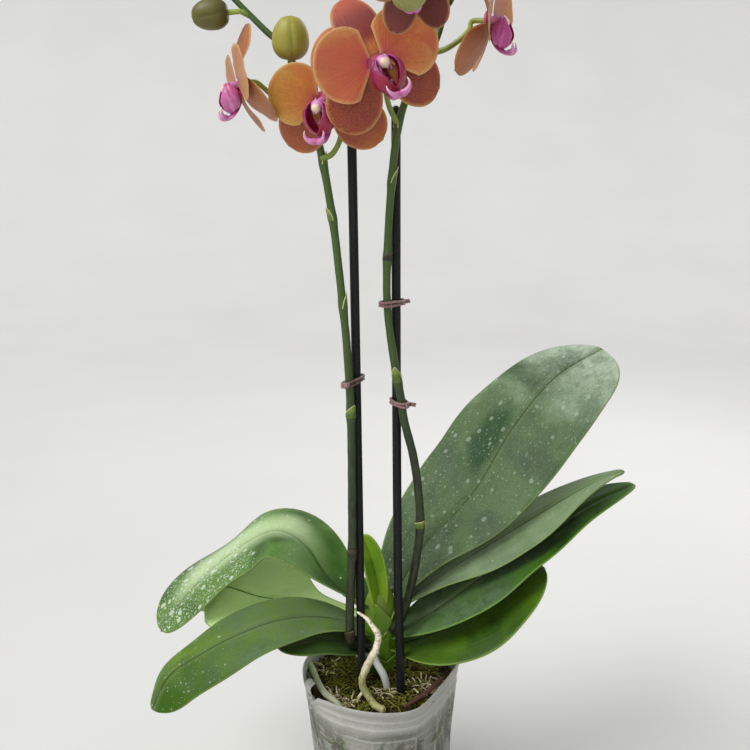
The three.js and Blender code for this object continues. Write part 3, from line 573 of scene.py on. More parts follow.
def line_mesh(strands):
    """Bare lines for stems to grow along, each as a path, its radii, how round its two ends are, and its
    step. A point every step knows its radius and how far along it is in shares."""
    points, edges, thick, along = [], [], [], []
    for path, radii, (blunt_start, blunt_end), step in strands:
        length = even_shares(path, [0])[1]
        cap = np.array([0, 0.012, 0.05, 0.12, 0.25, 0.45, 0.7, 1]) * radii[0] / length
        even = np.linspace(0, 1, max(int(length / step), 6) + 1)
        shares = np.unique(np.concatenate([even, cap, 1 - cap * radii[-1] / radii[0]]))
        radius = value_along(radii, shares)
        for blunt, to_end, end in ((blunt_start, shares, radii[0]), (blunt_end, 1 - shares, radii[-1])):
            if blunt:
                radius = radius * np.sqrt(1 - (1 - np.clip(to_end * length / end, 0, 1)) ** 2 + 0.0004)
        edges += [(k, k + 1) for k in range(len(along), len(along) + len(shares) - 1)]
        points += (even_path(path, shares) * MM).tolist()
        thick += (radius * MM).tolist()
        along += shares.tolist()
    mesh = bpy.data.meshes.new("lines")
    mesh.from_pydata(points, edges, [])
    mark_points(mesh, {"thick": thick, "along": along})
    return mesh


def stem_tree():
    """A round stem along each line of a mesh, as thick as its points say, with bumps of a given size."""
    tree, given = growing("grown_stem", geometry="Geometry", sides="Int", bump_height="Float",
                          bump_scale="Float", ridges="Float", ridge_depth="Float")
    thick = put("GeometryNodeInputNamedAttribute", "thick", data_type="FLOAT")
    line = put("GeometryNodeSetCurveNormal", put("GeometryNodeMeshToCurve", given.geometry),
               mode="MINIMUM_TWIST")
    ring = put("GeometryNodeCurvePrimitiveCircle", Resolution=given.sides, Radius=1.0)
    turn = put("GeometryNodeSplineParameter", out="Factor")
    ring = put("GeometryNodeStoreNamedAttribute", ring, Name="round", Value=turn, data_type="FLOAT",
               domain="POINT")
    stem = put("GeometryNodeCurveToMesh", line, ring, Scale=thick, Fill_Caps=True)
    bumps = (put("ShaderNodeTexNoise", Scale=given.bump_scale, Detail=2.0) - 0.5) * given.bump_height
    turn = put("GeometryNodeInputNamedAttribute", "round", data_type="FLOAT")
    wave = worked("SINE", turn * math.tau * given.ridges)
    far = (bumps + wave * given.ridge_depth) * thick
    push = put("ShaderNodeVectorMath", put("GeometryNodeInputNormal"), Scale=far, operation="SCALE")
    grown(put("GeometryNodeSetPosition", stem, Offset=push), given.material)
    return tree


grown_stem = stem_tree()


def stem_mesh(strands, material, sides=20, bumps=0.0, bump_scale=150, ridges=0, ridge_depth=0.0):
    return grown_mesh(grown_stem, line_mesh(strands), sides=sides, bump_height=float(bumps),
                      ridges=float(ridges), bump_scale=float(bump_scale), ridge_depth=float(ridge_depth),
                      material=material)


def stake_finish():
    material = new_finish("black_stake_coating", 0.5, specular_ior_level=0.3)
    where = in_place()
    scuffs = noise(stretched(where, (300, 300, 30)), 1, 4)
    colour = mixed(band(scuffs, 0.5, 0.75), hue(9, 10, 11), hue(24, 25, 27))
    dots = put("ShaderNodeTexVoronoi", Vector=where, Scale=900.0)
    rough = band(scuffs, 0.35, 0.7, 0.42, 0.62)
    return finished(material, 0.0003, base_color=colour, roughness=rough, height=dots)


stake_coating = stake_finish()
for name, path in STAKES.items():
    strand = (path, [STAKE_RADIUS, STAKE_RADIUS], (True, True), 6)
    piece_of(name + "_rod", stem_mesh([strand], stake_coating, 24, 0.02, 300), None, name)


# The crown is the plant's short upright stem, wrapped by the folded bases of its leaves. It is living
# tissue, lime where it is young, deeper green below, and dry and brown in the hollows between the sheaths.
CROWN = Sizes(x=-3, y=8, wide=1.28, foot=104.8, tip=177)
CROWN_OUTLINE = [(5.2, 104.8), (6, 110), (6.5, 116), (8.6, 122), (9.5, 130), (9.8, 146), (9.2, 160),
                 (7.4, 169), (4.6, 174.5), (1.5, 176.6)]
# Sheaths: foot and top height, direction of the middle in degrees, how far round and how far out it goes.
SHEATHS = [(118, 152, -82, 84, 1.6), (127, 166, -62, 66, 2.8), (112, 140, -115, 74, 2.4),
           (124, 160, 140, 80, 2), (120, 158, 40, 80, 2.2), (106, 126, -70, 95, 1.2)]


def crown_point(radius, angle, z):
    x = CROWN.x + radius * CROWN.wide * np.cos(angle)
    return np.stack([x, CROWN.y + radius * np.sin(angle), z + 0 * angle], -1)


def crown_radius(z):
    radii, heights = zip(*CROWN_OUTLINE)
    return np.interp(z, heights, radii)


def crown_form():
    angle = np.linspace(0, math.tau, 40, endpoint=False)[None]
    heights = np.concatenate([np.linspace(CROWN.foot, 170, 44), np.linspace(171, 176.6, 7)])
    z = heights[:, None]
    radius = crown_radius(z) * (1 + 0.05 * np.sin(2 * angle + z / 9) + 0.03 * np.sin(5 * angle - z / 4))
    tips = [[CROWN.x, CROWN.y, CROWN.foot], [CROWN.x, CROWN.y, CROWN.tip]]
    along = np.concatenate([np.repeat((heights - 105) / 72, 40), [0, 1]])
    return ring_form(crown_point(radius, angle, z), tips, along=along)


def sheath_form(low, high, direction, reach, out):
    """A leaf's clasping base: a sheet bent round the stem, notched at its top where the blade leaves it."""
    t, q = np.linspace(0, 1, 22)[:, None], np.linspace(1, -1, 29)[None]
    angle = np.radians(direction + q * reach * (1 - 0.35 * t))
    z = low + (high - low) * t * (1 - 0.28 * (1 - abs(q)) ** 1.5) + 2 * (1 - t) * q * q
    radius = crown_radius(z) + 0.5 + out * t ** 1.5 * (1 - 0.4 * abs(q)) + 0.7 * np.exp(-((q * 9) ** 2))
    return sheet_form(crown_point(radius, angle, z), 1.1)


def skin_group(name, **takes):
    """A group for a plant's skin, now at hand, with what it is given."""
    return group_of("Shader", name, {"Color": "Color", "Roughness": "Float", "Height": "Float"}, **takes)


def skinned(material, group, distance, **look):
    """The material with its skin from a group that is given this look, whose relief is this deep."""
    skin = put("ShaderNodeGroup", node_tree=group)
    for key, value in look.items():
        value = hue(*value) if isinstance(value, tuple) else value
        skin.socket.node.inputs[titled(key)].default_value = value
    rough, height = skin.other("Roughness"), skin.other("Height")
    return finished(material, distance, base_color=skin, roughness=rough, height=height)


def stem_skin_group():
    """The skin of a stem, bud or sheath: two greens, fine flecks, brown on stems and roots and pale pink
    painted highlights on the tie cord, fine stripes and dry brown rims.
    """
    tree, given = skin_group("stem_skin", low_color=(44, 48, 28), high_color=(90, 110, 40), turn=0.5,
                             freckle_color=(70, 46, 30), freckles=0.4, scale=150.0,
                             rim_color=(170, 160, 110), rim_width=0.0, seam_color=(50, 48, 20))
    where = in_place()
    share = mark_of("along") + (noise(where, 30, 3) - 0.5) * 0.35 - given.turn
    colour = mixed(band(share, -0.2, 0.2), given.low_color, given.high_color)
    cells = noise(stretched(where, (1, 1, 0.4)), given.scale, 5, 0.5)
    colour = mixed(band(cells, 0.42, 0.62, 0, 0.35), colour, given.high_color)
    # Fine flecks: brown spots on stems and roots, and pale pink painted highlights on the tie cord.
    colour = mixed(band(noise(where, 620, 3), 0.54, 0.66) * given.freckles, colour, given.freckle_color)
    colour = mixed(band(given.rim_width - mark_of("rim"), 0, 0.3), colour, given.rim_color)
    colour = mixed(mark_of("seam") * 0.8, colour, given.seam_color)
    put("NodeGroupOutput", colour, band(cells, 0.3, 0.7, 0.4, 0.6), cells)
    return tree


stem_skin = stem_skin_group()


def skin_finish(name, low, high, bump=0.0002, roughness=0.5, turn=0.5, freckles=0.4, scale=150.0,
                gloss=None, **look):
    """A stem's skin between two colours. Gloss holds the shader's constants, look the group's other
    values."""
    return skinned(new_finish(name, roughness, **(gloss or {})), stem_skin, bump, low_color=low,
                   high_color=high, turn=turn, freckles=freckles, scale=scale, **look)


crown_skin = skin_finish("crown_skin", (46, 78, 8), (92, 134, 16), turn=0.34, freckles=0.0,
                         rim_color=(116, 144, 44), rim_width=0.4, gloss={"coat_weight": 0.15})
sheathed = joined(crown_form(), *[sheath_form(*sheath) for sheath in SHEATHS])
piece_of("crown_stem", sheathed, crown_skin, "leaf_crown")


# Each leaf is one thick, leathery blade that grows from the crown, folded along its midrib and arching
# under its own weight. Its waxy skin is grey-green with a bluish bloom, speckled with dried white water
# drops, and its edge is a thin yellow-green line. Each blade has its own width, fold and colours.
LEAF = Sizes(steps=72, strips=15, rib_thick=2.5, edge_thick=1.1, groove=1.25, groove_width=1.5,
             smoothing=12)


def outline_share(u, base, widest, blunt):
    """The share of the full half width at u along a blade that starts at base and is widest at widest."""
    rising = base + (1 - base) * np.sin(math.pi / 2 * np.minimum(u, widest) / widest)
    falling = np.sqrt(1 - (np.clip((u - widest) / (1 - widest), 0, 1)) ** blunt)
    return np.where(u < widest, rising, falling)


def bent_half(fold, curl, u, shares, half):
    """How far out and how far up from the midrib a half leaf reaches at each share of its width."""
    fine = np.linspace(0, 1, 49)
    angle = np.radians(value_along(fold, [u])[0] - value_along(curl, [u])[0] * (fine[1:] + fine[:-1]) / 2)
    return [np.interp(shares, fine, np.concatenate([[0], np.cumsum(step(angle))]) * half / 48)
            for step in (np.cos, np.sin)]


def leaf_rows(width, wave, midrib, face, *halves):
    """The blade's grid of points. Its face points along the face directions. A half has its share of the
    width, the degrees that it rises from the midrib by and bends back by on its way out, its outline, which
    is its base width in shares, where it is widest and how blunt its tip is, and how far up it is torn."""
    shares = np.sin(np.linspace(0, 1, LEAF.steps + 1) * math.pi / 2) ** 0.9
    parameter, length = even_shares(midrib, shares)
    rib = smooth_path(midrib, parameter)
    along = unit(smooth_path(midrib, parameter + 0.002) - smooth_path(midrib, parameter - 0.002))
    face = unit(smooth_path(face, shares))
    face = unit(face - along * (face * along).sum(1, keepdims=True))
    sideways = np.cross(along, face)
    spread = np.linspace(0, 1, LEAF.strips + 1) ** 1.15
    rows, ripples = [], []
    for k, u in enumerate(shares):
        row, rippled = [], []
        for side, (share, fold, curl, outline, *torn) in zip((-1, 1), halves):
            half = max(width / 2 * share * float(outline_share(u, *outline)), 0.5)
            if torn and u < torn[0]:
                half *= 0.3 + 0.12 * math.sin(50 * u)
            out, up = bent_half(fold, curl, u, spread, half)
            swell, narrow = wave * math.sin(math.pi * u), min(half / 12, 1)
            rise = swell * spread ** 3 * math.sin(length * u / 9 + 2.2 * side)
            rise = rise + 1.3 * swell * spread ** 2 * math.sin(length * u / 21 + 1.4 * side)
            rise = rise + (0.5 * hill(out - 4, 3) - LEAF.groove * hill(out, LEAF.groove_width)) * narrow
            row.append(rib[k] + side * out[:, None] * sideways[k] + up[:, None] * face[k])
            rippled.append(rise[:, None] * face[k])
        rows.append(np.vstack([row[1][::-1], row[0][1:]]))
        ripples.append(np.vstack([rippled[1][::-1], rippled[0][1:]]))
    rows = np.array(rows)
    slack = np.abs(np.linspace(-1, 1, rows.shape[1]))[None, :, None] ** 1.5 * 0.25
    for _ in range(LEAF.smoothing):
        rows[1:-1] += slack * (rows[2:] - 2 * rows[1:-1] + rows[:-2])
    return rows + np.array(ripples)


def leaf_thickness(rows):
    away = np.linalg.norm(rows - rows[:, LEAF.strips][:, None], axis=2)
    thick = LEAF.edge_thick + (LEAF.rib_thick - LEAF.edge_thick) * hill(away, 7)
    return thick * (1 - 0.35 * ease(0.9, 1, np.linspace(0, 1, len(rows))[:, None]))


def leaf_skin_group():
    """A waxy leaf: a fresh green under a grey bloom, which at the tip of one leaf is a painted highlight,
    parallel veins, a dark midrib between pale flanks, white specks of dried water, a yellow-green rim, a patch
    of another colour, which is a torn brown edge on one leaf, painted shade on another and a painted highlight
    on a third, and a paler underside."""
    tree, given = skin_group("leaf_skin", fresh_color="Color", deep_color="Color", bloom_color="Color",
                             bloom="Float", outer_bloom="Float", turn=0.5, specks=0.15, outer_specks=0.1,
                             rim_color=(122, 144, 74), under_color=(112, 132, 84), patch_along=-5.0,
                             patch_across=0.0, patch_size=0.2, patch_color=(30, 60, 8),
                             rib_color=(52, 70, 38), drops=0.45)
    where = in_place()
    along, across, out, rim, back = [mark_of(key) for key in ("along", "across", "across_mm", "rim",
                                                              "back")]
    cloud = noise(where, 22, 5, 0.5)
    outward = band(along + (cloud - 0.5) * 0.5, given.turn - 0.16, given.turn + 0.16)
    ends = (given.bloom, given.outer_bloom), (given.specks, given.outer_specks)
    amount, sprinkle = [put("ShaderNodeMix", at={0: outward, 2: inner, 3: outer}, data_type="FLOAT")
                        for inner, outer in ends]
    colour = mixed(band(cloud, 0.38, 0.6), given.deep_color, given.fresh_color)
    mottle = band(noise(where, 95, 6, 0.6), 0.3, 0.62, 0.55, 1)
    # The bloom is the leaf's own grey cast. On one leaf it is a painted highlight at the tip, and on another it
    # is part of a painted lightening.
    colour = mixed(amount * mottle, colour, given.bloom_color)
    spot = put("ShaderNodeCombineXYZ", along - given.patch_along, (across - given.patch_across) * 0.45)
    ragged = put("ShaderNodeVectorMath", spot, operation="LENGTH", out="Value") + (cloud - 0.5) * 0.25
    near = 1.0 - band(ragged, given.patch_size * 0.35, given.patch_size)
    # The patch is a torn brown edge on one leaf, painted shade on another and a painted highlight on a third.
    colour = mixed(near * 0.85, colour, given.patch_color)
    veins = noise(put("ShaderNodeCombineXYZ", out * 0.7, along * 2.0), 1.0, 3)
    colour = mixed(band(veins, 0.45, 0.72, 0, 0.14), colour, given.deep_color)
    pores = noise(where, 900, 4, 0.5)
    colour = mixed(band(pores, 0.46, 0.7, 0, 0.4) * amount, colour, given.bloom_color)
    colour = mixed(band(pores, 0.5, 0.3, 0, 0.25), colour, given.deep_color)
    colour = mixed(band(abs(out), 5.5, 1.2, 0, 0.3), colour, given.under_color)
    colour = mixed(band(abs(out), 1.3, 0.35, 0, 0.9), colour, given.rib_color)
    drops = None
    for scale, size in ((900.0, 0.36), (430.0, 0.34), (150.0, 0.3)):
        distance = put("ShaderNodeTexVoronoi", Vector=stretched(where, (0.8, 1, 0.7)), Scale=scale)
        luck = put("ShaderNodeSeparateColor", distance.other("Color"))
        dot = band(distance, luck * size + 0.09, luck * size) * worked("GREATER_THAN", sprinkle, luck)
        drops = worked("MAXIMUM", drops, dot) if drops else dot
    colour = mixed(drops * given.drops, colour, hue(222, 232, 214))
    colour = mixed(band(rim, 0.8, 0.2, 0, 0.6), colour, given.rim_color)
    colour = mixed(back * 0.8, colour, given.under_color)
    rough = band(mottle + drops * 0.5, 0.5, 1.4, 0.36, 0.62) - near * 0.08
    put("NodeGroupOutput", colour, rough, veins * 0.6 + pores * 0.5 + drops * 0.25)
    return tree


leaf_skin = leaf_skin_group()


def leaf(name, width, wave, midrib, face, left, right, **look):
    """One blade: its width, how wavy it is, its midrib, the ways its face points, its two halves and its
    look."""
    rows = leaf_rows(width, wave, midrib, face, left, right)
    skin = skinned(new_finish(name + "_skin", 0.45, specular_ior_level=0.2), leaf_skin, 0.0006, **look)
    piece_of(name + "_blade", sheet_form(rows, leaf_thickness(rows)), skin, name)


# On this leaf the pale outer bloom is a painted highlight where the tip faces the light. The dark green patch
# is painted shade where the leaf is out of the sky's reflection.
leaf("leaf_right_1", 102, 0.7, [[9, 17.5, 165], [31, 25, 200], [66, 31, 239], [95, 43, 284], [127, 56, 319],
     [164, 68, 339]], [[-0.53, -0.66, 0.53], [-0.44, -0.74, 0.5], [-0.37, -0.64, 0.67]],
     (1, [43, 2, 0], [2, 19, 20], [0.35, 0.56, 1.2]), (1, [40, 7, 21], [9, 15, -5], [0.28, 0.8, 3.3]),
     fresh_color=(66, 96, 38), deep_color=(38, 66, 18), bloom_color=(186, 202, 178), bloom=0.12,
     outer_bloom=0.85, turn=0.62, specks=0.7, outer_specks=0.6, patch_along=0.36, patch_across=0.32,
     patch_size=0.16, patch_color=(6, 62, 0), drops=0.24)
leaf("leaf_right_2", 64, 0.7, [[7, 13, 152], [41, 13.5, 180], [73, 14, 202], [113, 17, 227], [147, 18, 248],
     [171, 15, 260]], [[-0.42, -0.36, 0.83], [-0.37, -0.43, 0.82], [-0.32, -0.38, 0.87]],
     (0.8, [24, -1, -13], [0, 11, 23], [0.35, 0.39, 1.7]),
     (1, [36, 15, 28], [-20, -1, -20], [0.3, 0.6, 1.2]), fresh_color=(96, 124, 66), deep_color=(62, 90, 40),
     bloom_color=(144, 162, 130), bloom=0.55, outer_bloom=0.6, specks=0.3, outer_specks=0.45)
leaf("leaf_right_3", 73, 0.9, [[7, 5, 139], [40, 1.5, 161], [65, 1.7, 181], [85, 5, 195], [116, 11, 214],
     [149, 16, 234], [181, 20, 248]], [[-0.37, -0.38, 0.85], [-0.3, -0.3, 0.91], [-0.32, -0.24, 0.92]],
     (0.72, [32, 0, -2], [-3, 5, 6], [0.25, 0.55, 2.3]), (1, [30, 12, 20], [0, 5, -1], [0.26, 0.3, 1.2]),
     fresh_color=(58, 98, 8), deep_color=(28, 58, 2), bloom_color=(104, 124, 92), bloom=0.6,
     outer_bloom=0.0, turn=0.26, specks=0.25, outer_specks=0.08, rim_color=(104, 146, 34))
leaf("leaf_right_4", 79, 0.8, [[2, 9, 126.5], [15, 7, 130.5], [37, -0.5, 142.5], [63, -7, 160],
     [89, -6, 176], [114, 0, 193]], [[-0.38, -0.37, 0.85], [-0.19, -0.33, 0.92], [-0.23, -0.27, 0.93]],
     (0.7, [40, 20, 12], [0, 5, 10], [0.37, 0.58, 2.3]), (1, [42, 8, 15], [-1, 9, 3], [0.12, 0.42, 2.15]),
     fresh_color=(74, 108, 8), deep_color=(40, 70, 4), bloom_color=(90, 114, 50), bloom=0.3,
     outer_bloom=0.05, turn=0.3, specks=0.1, rim_color=(116, 148, 44))
# On this leaf the pale patch at the top of the arch is a painted highlight from the light above.
leaf("leaf_left_1", 77, 0.6, [[-13, 10, 156], [-41, 20, 175], [-59, 32, 197], [-83, 40, 205],
     [-117, 40, 185], [-146, 32, 160], [-167, 22, 133]], [[0.49, -0.44, 0.75], [0.26, -0.4, 0.88],
     [-0.25, -0.18, 0.95], [-0.64, -0.48, 0.6]], (1, [48, 24, 7, -6], [-20, 15, 12, 5], [0.36, 0.5, 1.5]),
     (1, [51, 24, -3, 11], [-1, 27, 24, -2], [0.36, 0.77, 1.2]), fresh_color=(82, 120, 44),
     deep_color=(46, 80, 20), bloom_color=(140, 166, 112), bloom=0.0, outer_bloom=0.15, turn=0.3,
     specks=0.2, outer_specks=1.0, patch_along=0.43, patch_across=-0.2, patch_size=0.34,
     patch_color=(190, 214, 160), drops=0.55)
# This leaf's very pale greens are painted light. They stand in for light shining through it where the leaf
# above shades it.
leaf("leaf_left_2", 73, 0.9, [[-13, 16, 147], [-55, 28, 152], [-93, 37, 153], [-121, 42, 159],
     [-138, 46, 153], [-144, 46, 141]], [[0.1, -0.31, 0.94], [0.1, -0.31, 0.95], [-0.31, -0.25, 0.92]],
     (1, [42, 1, -3], [0, 19, 12], [0.2, 0.67, 2.35]),
     (1.05, [30, 34, 12], [0, 16, 20], [0.15, 0.6, 2.3], 0.34), fresh_color=(224, 252, 164),
     deep_color=(194, 234, 128), bloom_color=(228, 252, 196), bloom=0.4, outer_bloom=0.4, outer_specks=0.3,
     patch_along=0.34, patch_across=-0.9, patch_size=0.05, patch_color=(112, 82, 58),
     under_color=(184, 232, 112))
leaf("leaf_left_3", 51, 0.8, [[-12, 2, 142], [-28, -2, 152.6], [-53, -8, 159], [-77, -20, 161.5],
     [-102, -32, 157], [-125, -44, 149], [-144, -54, 139], [-155, -60, 119]], [[0.1, -0.38, 0.92],
     [0.01, -0.41, 0.91], [-0.24, -0.47, 0.85], [-0.33, -0.49, 0.81]],
     (1, [32, 4, 2, -6], [-8, 12, 13, 17], [0.31, 0.8, 2.35]),
     (1, [4, 8, -8, -9], [6, 11, 25, 20], [0.18, 0.6, 1.2]), fresh_color=(96, 128, 14),
     deep_color=(54, 90, 6), bloom_color=(96, 118, 80), bloom=0.85, outer_bloom=0.0, turn=0.42,
     outer_specks=0.6, drops=0.36)
leaf("leaf_left_4", 37, 0.5, [[-11, 7, 125.5], [-27, -4, 136.4], [-44, -13, 145], [-59, -19, 145],
     [-75, -23, 144]], [[0.1, -0.31, 0.95], [0, -0.33, 0.94], [-0.21, -0.29, 0.93]],
     (1, [28, 12, 8], [-3, 7, 7], [0.28, 0.51, 1.7]), (0.6, [35, 15, 5], [0, 5, 10], [0.4, 0.58, 2.3]),
     fresh_color=(46, 72, 18), deep_color=(22, 40, 8), bloom_color=(60, 80, 44), bloom=0.2, outer_bloom=0.1,
     specks=0.1, rim_color=(84, 110, 40))
leaf("young_leaf", 17, 0.3, [[-4, 4, 164], [-5, 3, 179], [-9, 2, 198], [-16, 1, 218]], [[0.25, -0.95, 0.2],
     [0.25, -0.95, 0.2]], (1, [35, 20], [0, 10], [0.7, 0.4, 1.8]), (1, [35, 20], [0, 10], [0.7, 0.63, 2]),
     fresh_color=(132, 172, 30), deep_color=(92, 140, 18), bloom_color=(150, 180, 70), bloom=0.1,
     outer_bloom=0.1, specks=0.0, outer_specks=0.0, rim_color=(176, 200, 90), under_color=(132, 162, 50),
     rib_color=(96, 140, 24))


# Aerial roots come out of the crown and creep over the moss. They are soft and spongy: the front one is
# wrinkled, pinkish cream where it is dry and spotted yellow-green below, and the others are smooth and
# silver grey.
def aerial_root(name, skin, bumps, radii, path, side_radii=None, side_path=None):
    """A root along its path, with its radii on the way, and a short branch where it has one."""
    strands = [(path, radii, (True, True), 1.2)]
    if side_path:
        strands.append((side_path, side_radii, (False, True), 0.9))
    piece_of(name + "_strand", stem_mesh(strands, skin, 18, bumps, 210, 5, 0.03), None, name)


front_skin = skin_finish("front_root_skin", (236, 224, 200), (166, 164, 108), 0.0016, 0.7, 0.52, 0.7, 220.0,
                         freckle_color=(112, 94, 68))
silver_skin = skin_finish("silver_root_skin", (196, 196, 184), (220, 222, 216), 0.0004, 0.7, 0.4, 0.1, 90.0)
grey_skin = skin_finish("grey_root_skin", (142, 148, 114), (172, 176, 146), 0.0008, 0.75, 0.5, 0.3, 160.0)
aerial_root("aerial_root_front", front_skin, 0.7, [0.7, 2.1, 2.5, 2.5, 2.4],
            [[-19.2, -22.8, 170.5], [-13, -26, 167.5], [-8, -28, 162], [-4.5, -30, 156], [-6, -31, 147],
             [-10, -32, 139], [-14, -33, 130], [-15.6, -33, 121], [-12, -34, 113.5], [-6.5, -38, 108],
             [0.5, -44, 107.2]],
            [1.2, 1, 0.7], [[-14.6, -33.5, 116], [-17.5, -34, 112], [-19, -36, 108.5]])
aerial_root("aerial_root_middle", silver_skin, 0.3, [2.7, 2.7, 2.3],
            [[-4, 2, 127], [-8, -9, 131], [-6, -13, 127], [-0.2, -15, 117], [2, -14, 107.5], [3, -13, 101]],
            [2.2, 1.9, 1.4], [[-9, 1, 126], [-14, -5, 129], [-20, -9, 129.5]])
aerial_root("aerial_root_left", grey_skin, 0.3, [2.3, 2.3, 2.1],
            [[-56, 17, 109], [-51.5, 4, 109.4], [-48, -8, 108.5], [-41.5, -24, 108.4], [-33, -34, 107.2],
             [-28, -38, 102]])


# Two flower spikes grow from between the leaves. Each is a firm green stem with a clasping bract at every
# joint, and short bright stalks near its top that carry the blooms and buds. The tip ends in a cluster of
# tiny buds.
SPIKE = Sizes(radii=[3.1, 2.9, 2.6, 2.4, 1.6], stalk=[1.9, 1.6, 1.7], swelling=0.2, joint=5)
# A bloom has its roll anticlockwise, how far its lip turns to one side, the lean of its back sepal, the
# angles of its side sepals from straight down, and how far one of these lies behind the other.
BLOOMS = {
    "bloom_centre": Sizes(centre=[-4.9, -59, 529.3], facing=[0.27, -0.96, 0.1], roll=23, size=0.915,
                          lip_turn=0, petal_length=38.9, petal_tilt=21, petal_bend=-0.0013, lean=0,
                          angles=[53, 53], sepal_width=36, sepal_bend=0.0051, step=0),
    "bloom_left": Sizes(centre=[-36.1, -42, 510.2], facing=[-0.22, -0.94, -0.25], roll=3, size=0.88,
                        lip_turn=-14, petal_length=35.5, petal_tilt=23, petal_bend=-0.0013, lean=-14,
                        angles=[49, 49], sepal_width=36, sepal_bend=0.0047, step=0),
    "bloom_far_left": Sizes(centre=[-90, -20, 521.5], facing=[-0.93, -0.31, -0.18], roll=6, size=0.78,
                            lip_turn=0, petal_length=37, petal_tilt=21, petal_bend=0.0005, lean=8,
                            angles=[50, 51], sepal_width=38, sepal_bend=0.0072, step=0),
    "bloom_far_right": Sizes(centre=[63, -20, 559.1], facing=[0.95, -0.31, -0.03], roll=3, size=0.8,
                             lip_turn=0, petal_length=38.9, petal_tilt=21, petal_bend=-0.004, lean=0,
                             angles=[36, 50], sepal_width=36, sepal_bend=0.009, step=0),
    "bloom_back": Sizes(centre=[13.7, -75, 573.4], facing=[-0.15, -0.9, -0.35], roll=6, size=0.666,
                        lip_turn=0, petal_length=36, petal_tilt=21, petal_bend=-0.005, lean=0,
                        angles=[27, 27], sepal_width=29, sepal_bend=-0.004, step=2.6),
}
BUDS = {
    "bud_left_tip": Sizes(centre=[-108.3, -14, 563.8], facing=[-1, 0, -0.1], length=23, width=18),
    "bud_left_lower": Sizes(centre=[-57.2, -33.5, 547.6], facing=[0.05, -0.3, 0.95], length=25, width=21.6),
    "bud_right": Sizes(centre=[11.4, -102, 561.2], facing=[-0.3, 0.1, -0.95], length=20.6, width=19.6),
}
# A bract has its height on the stem, its length, the way it faces in degrees from the right, how far round
# it reaches, and whether it is dry. A stalk has its bloom or bud, its path, and how far behind the bloom it
# comes up.
SPIKES = {
    "flower_spike_left": Sizes(
        stem=[[-11, -2, 135], [-19.5, -9, 137], [-23.8, -15, 143], [-24.2, -19, 154], [-24, -20.5, 178],
              [-22.4, -22, 212], [-22.1, -23.5, 252], [-22.6, -24.5, 310], [-24.9, -24, 356],
              [-28, -24, 390], [-33.2, -24, 438], [-40, -23.5, 479], [-45.6, -23.5, 502], [-51, -22, 521],
              [-62, -18, 542.5], [-76, -15, 556], [-96, -11, 576], [-112, -8, 594]],
        bracts=[(150, 9, -60, 150, True), (213, 6, -90, 150, True), (312, 9, -60, 130, False),
                (384, 11, -20, 75, False), (440, 9, -160, 80, False), (474, 8, -20, 80, False),
                (511, 7, 200, 80, False), (527, 7, -60, 80, False)],
        stalks=[("bloom_left", [[-40, -25, 477], [-33, -28, 480], [-28, -30, 489], [-28, -33, 499]]),
                ("bloom_far_left", [[-49, -23, 514], [-60, -18, 513], [-70, -14, 515.5]]),
                ("bud_left_tip", [[-83, -13, 563], [-90, -14, 566]]),
                ("bud_left_lower", [[-55.5, -20.5, 530], [-57.5, -25, 529]], 3)],
        tip_buds=[(-113.5, -8, 597, 4), (-109.5, -11, 589, 3.4), (-103, -7, 588, 3.4)]),
    "flower_spike_right": Sizes(
        stem=[[5, -3, 146], [11.3, -5.8, 155.7], [14.1, -6.2, 163], [18.2, -7, 179], [22.2, -9, 203],
              [24.6, -12, 230], [22.8, -15.5, 257], [19.1, -18, 282], [12.8, -19.3, 307],
              [10.8, -20.1, 321], [5.9, -18.7, 348], [1.6, -16.7, 381], [1.2, -17, 413], [3, -18, 450],
              [6, -19.5, 485], [9.6, -20.5, 504], [16.3, -21, 521.5], [25.5, -19, 536.5],
              [32.3, -16, 551.6], [37.2, -12, 568], [44.7, -9, 580], [53.4, -6, 592], [58, -4, 604]],
        bracts=[(230, 6, -70, 150, False), (335, 11, -110, 90, False), (414, 6, -40, 120, True),
                (463, 11, -20, 80, False), (497, 8, 190, 80, False), (538, 7, -30, 80, False),
                (572, 7, 60, 80, False)],
        stalks=[("bloom_centre", [[8, -20.5, 498], [3, -27, 506], [0.5, -35, 513], [-2, -45, 521]]),
                ("bloom_far_right", [[29, -17, 541], [37, -19, 543], [45, -20, 548], [51, -20, 554]]),
                ("bloom_back", [[41, -12, 574], [41, -24, 580], [35, -42, 585], [24, -58, 583]]),
                ("bud_right", [[51, -10, 590], [53, -40, 594], [48, -74, 592], [36, -100, 587],
                               [24, -107, 583]])],
        tip_buds=[(59, -4, 607.5, 4), (61.5, -7, 599, 3.4), (53, -2.5, 599, 3.4)]),
}


def stem_radii(stem, bracts):
    """The stem's radii at even distances, with a swelling at each joint."""
    shares = np.linspace(0, 1, 90)
    heights = even_path(stem, shares)[:, 2]
    radii = value_along(SPIKE.radii, shares)
    for height, *_ in bracts:
        radii = radii * (1 + SPIKE.swelling * hill(heights - height, SPIKE.joint))
    return radii.tolist()


def stalk_route(name, path, away=8):
    """The stalk's path, brought up behind its bloom or bud and just into it."""
    shape = BLOOMS.get(name) or BUDS[name]
    forward = unit(np.array(shape.facing, float))
    depth = 3 * shape.size if name in BLOOMS else shape.length / 2
    return path + [(np.array(shape.centre) - forward * (depth + off)).tolist() for off in (away, -1.0)]


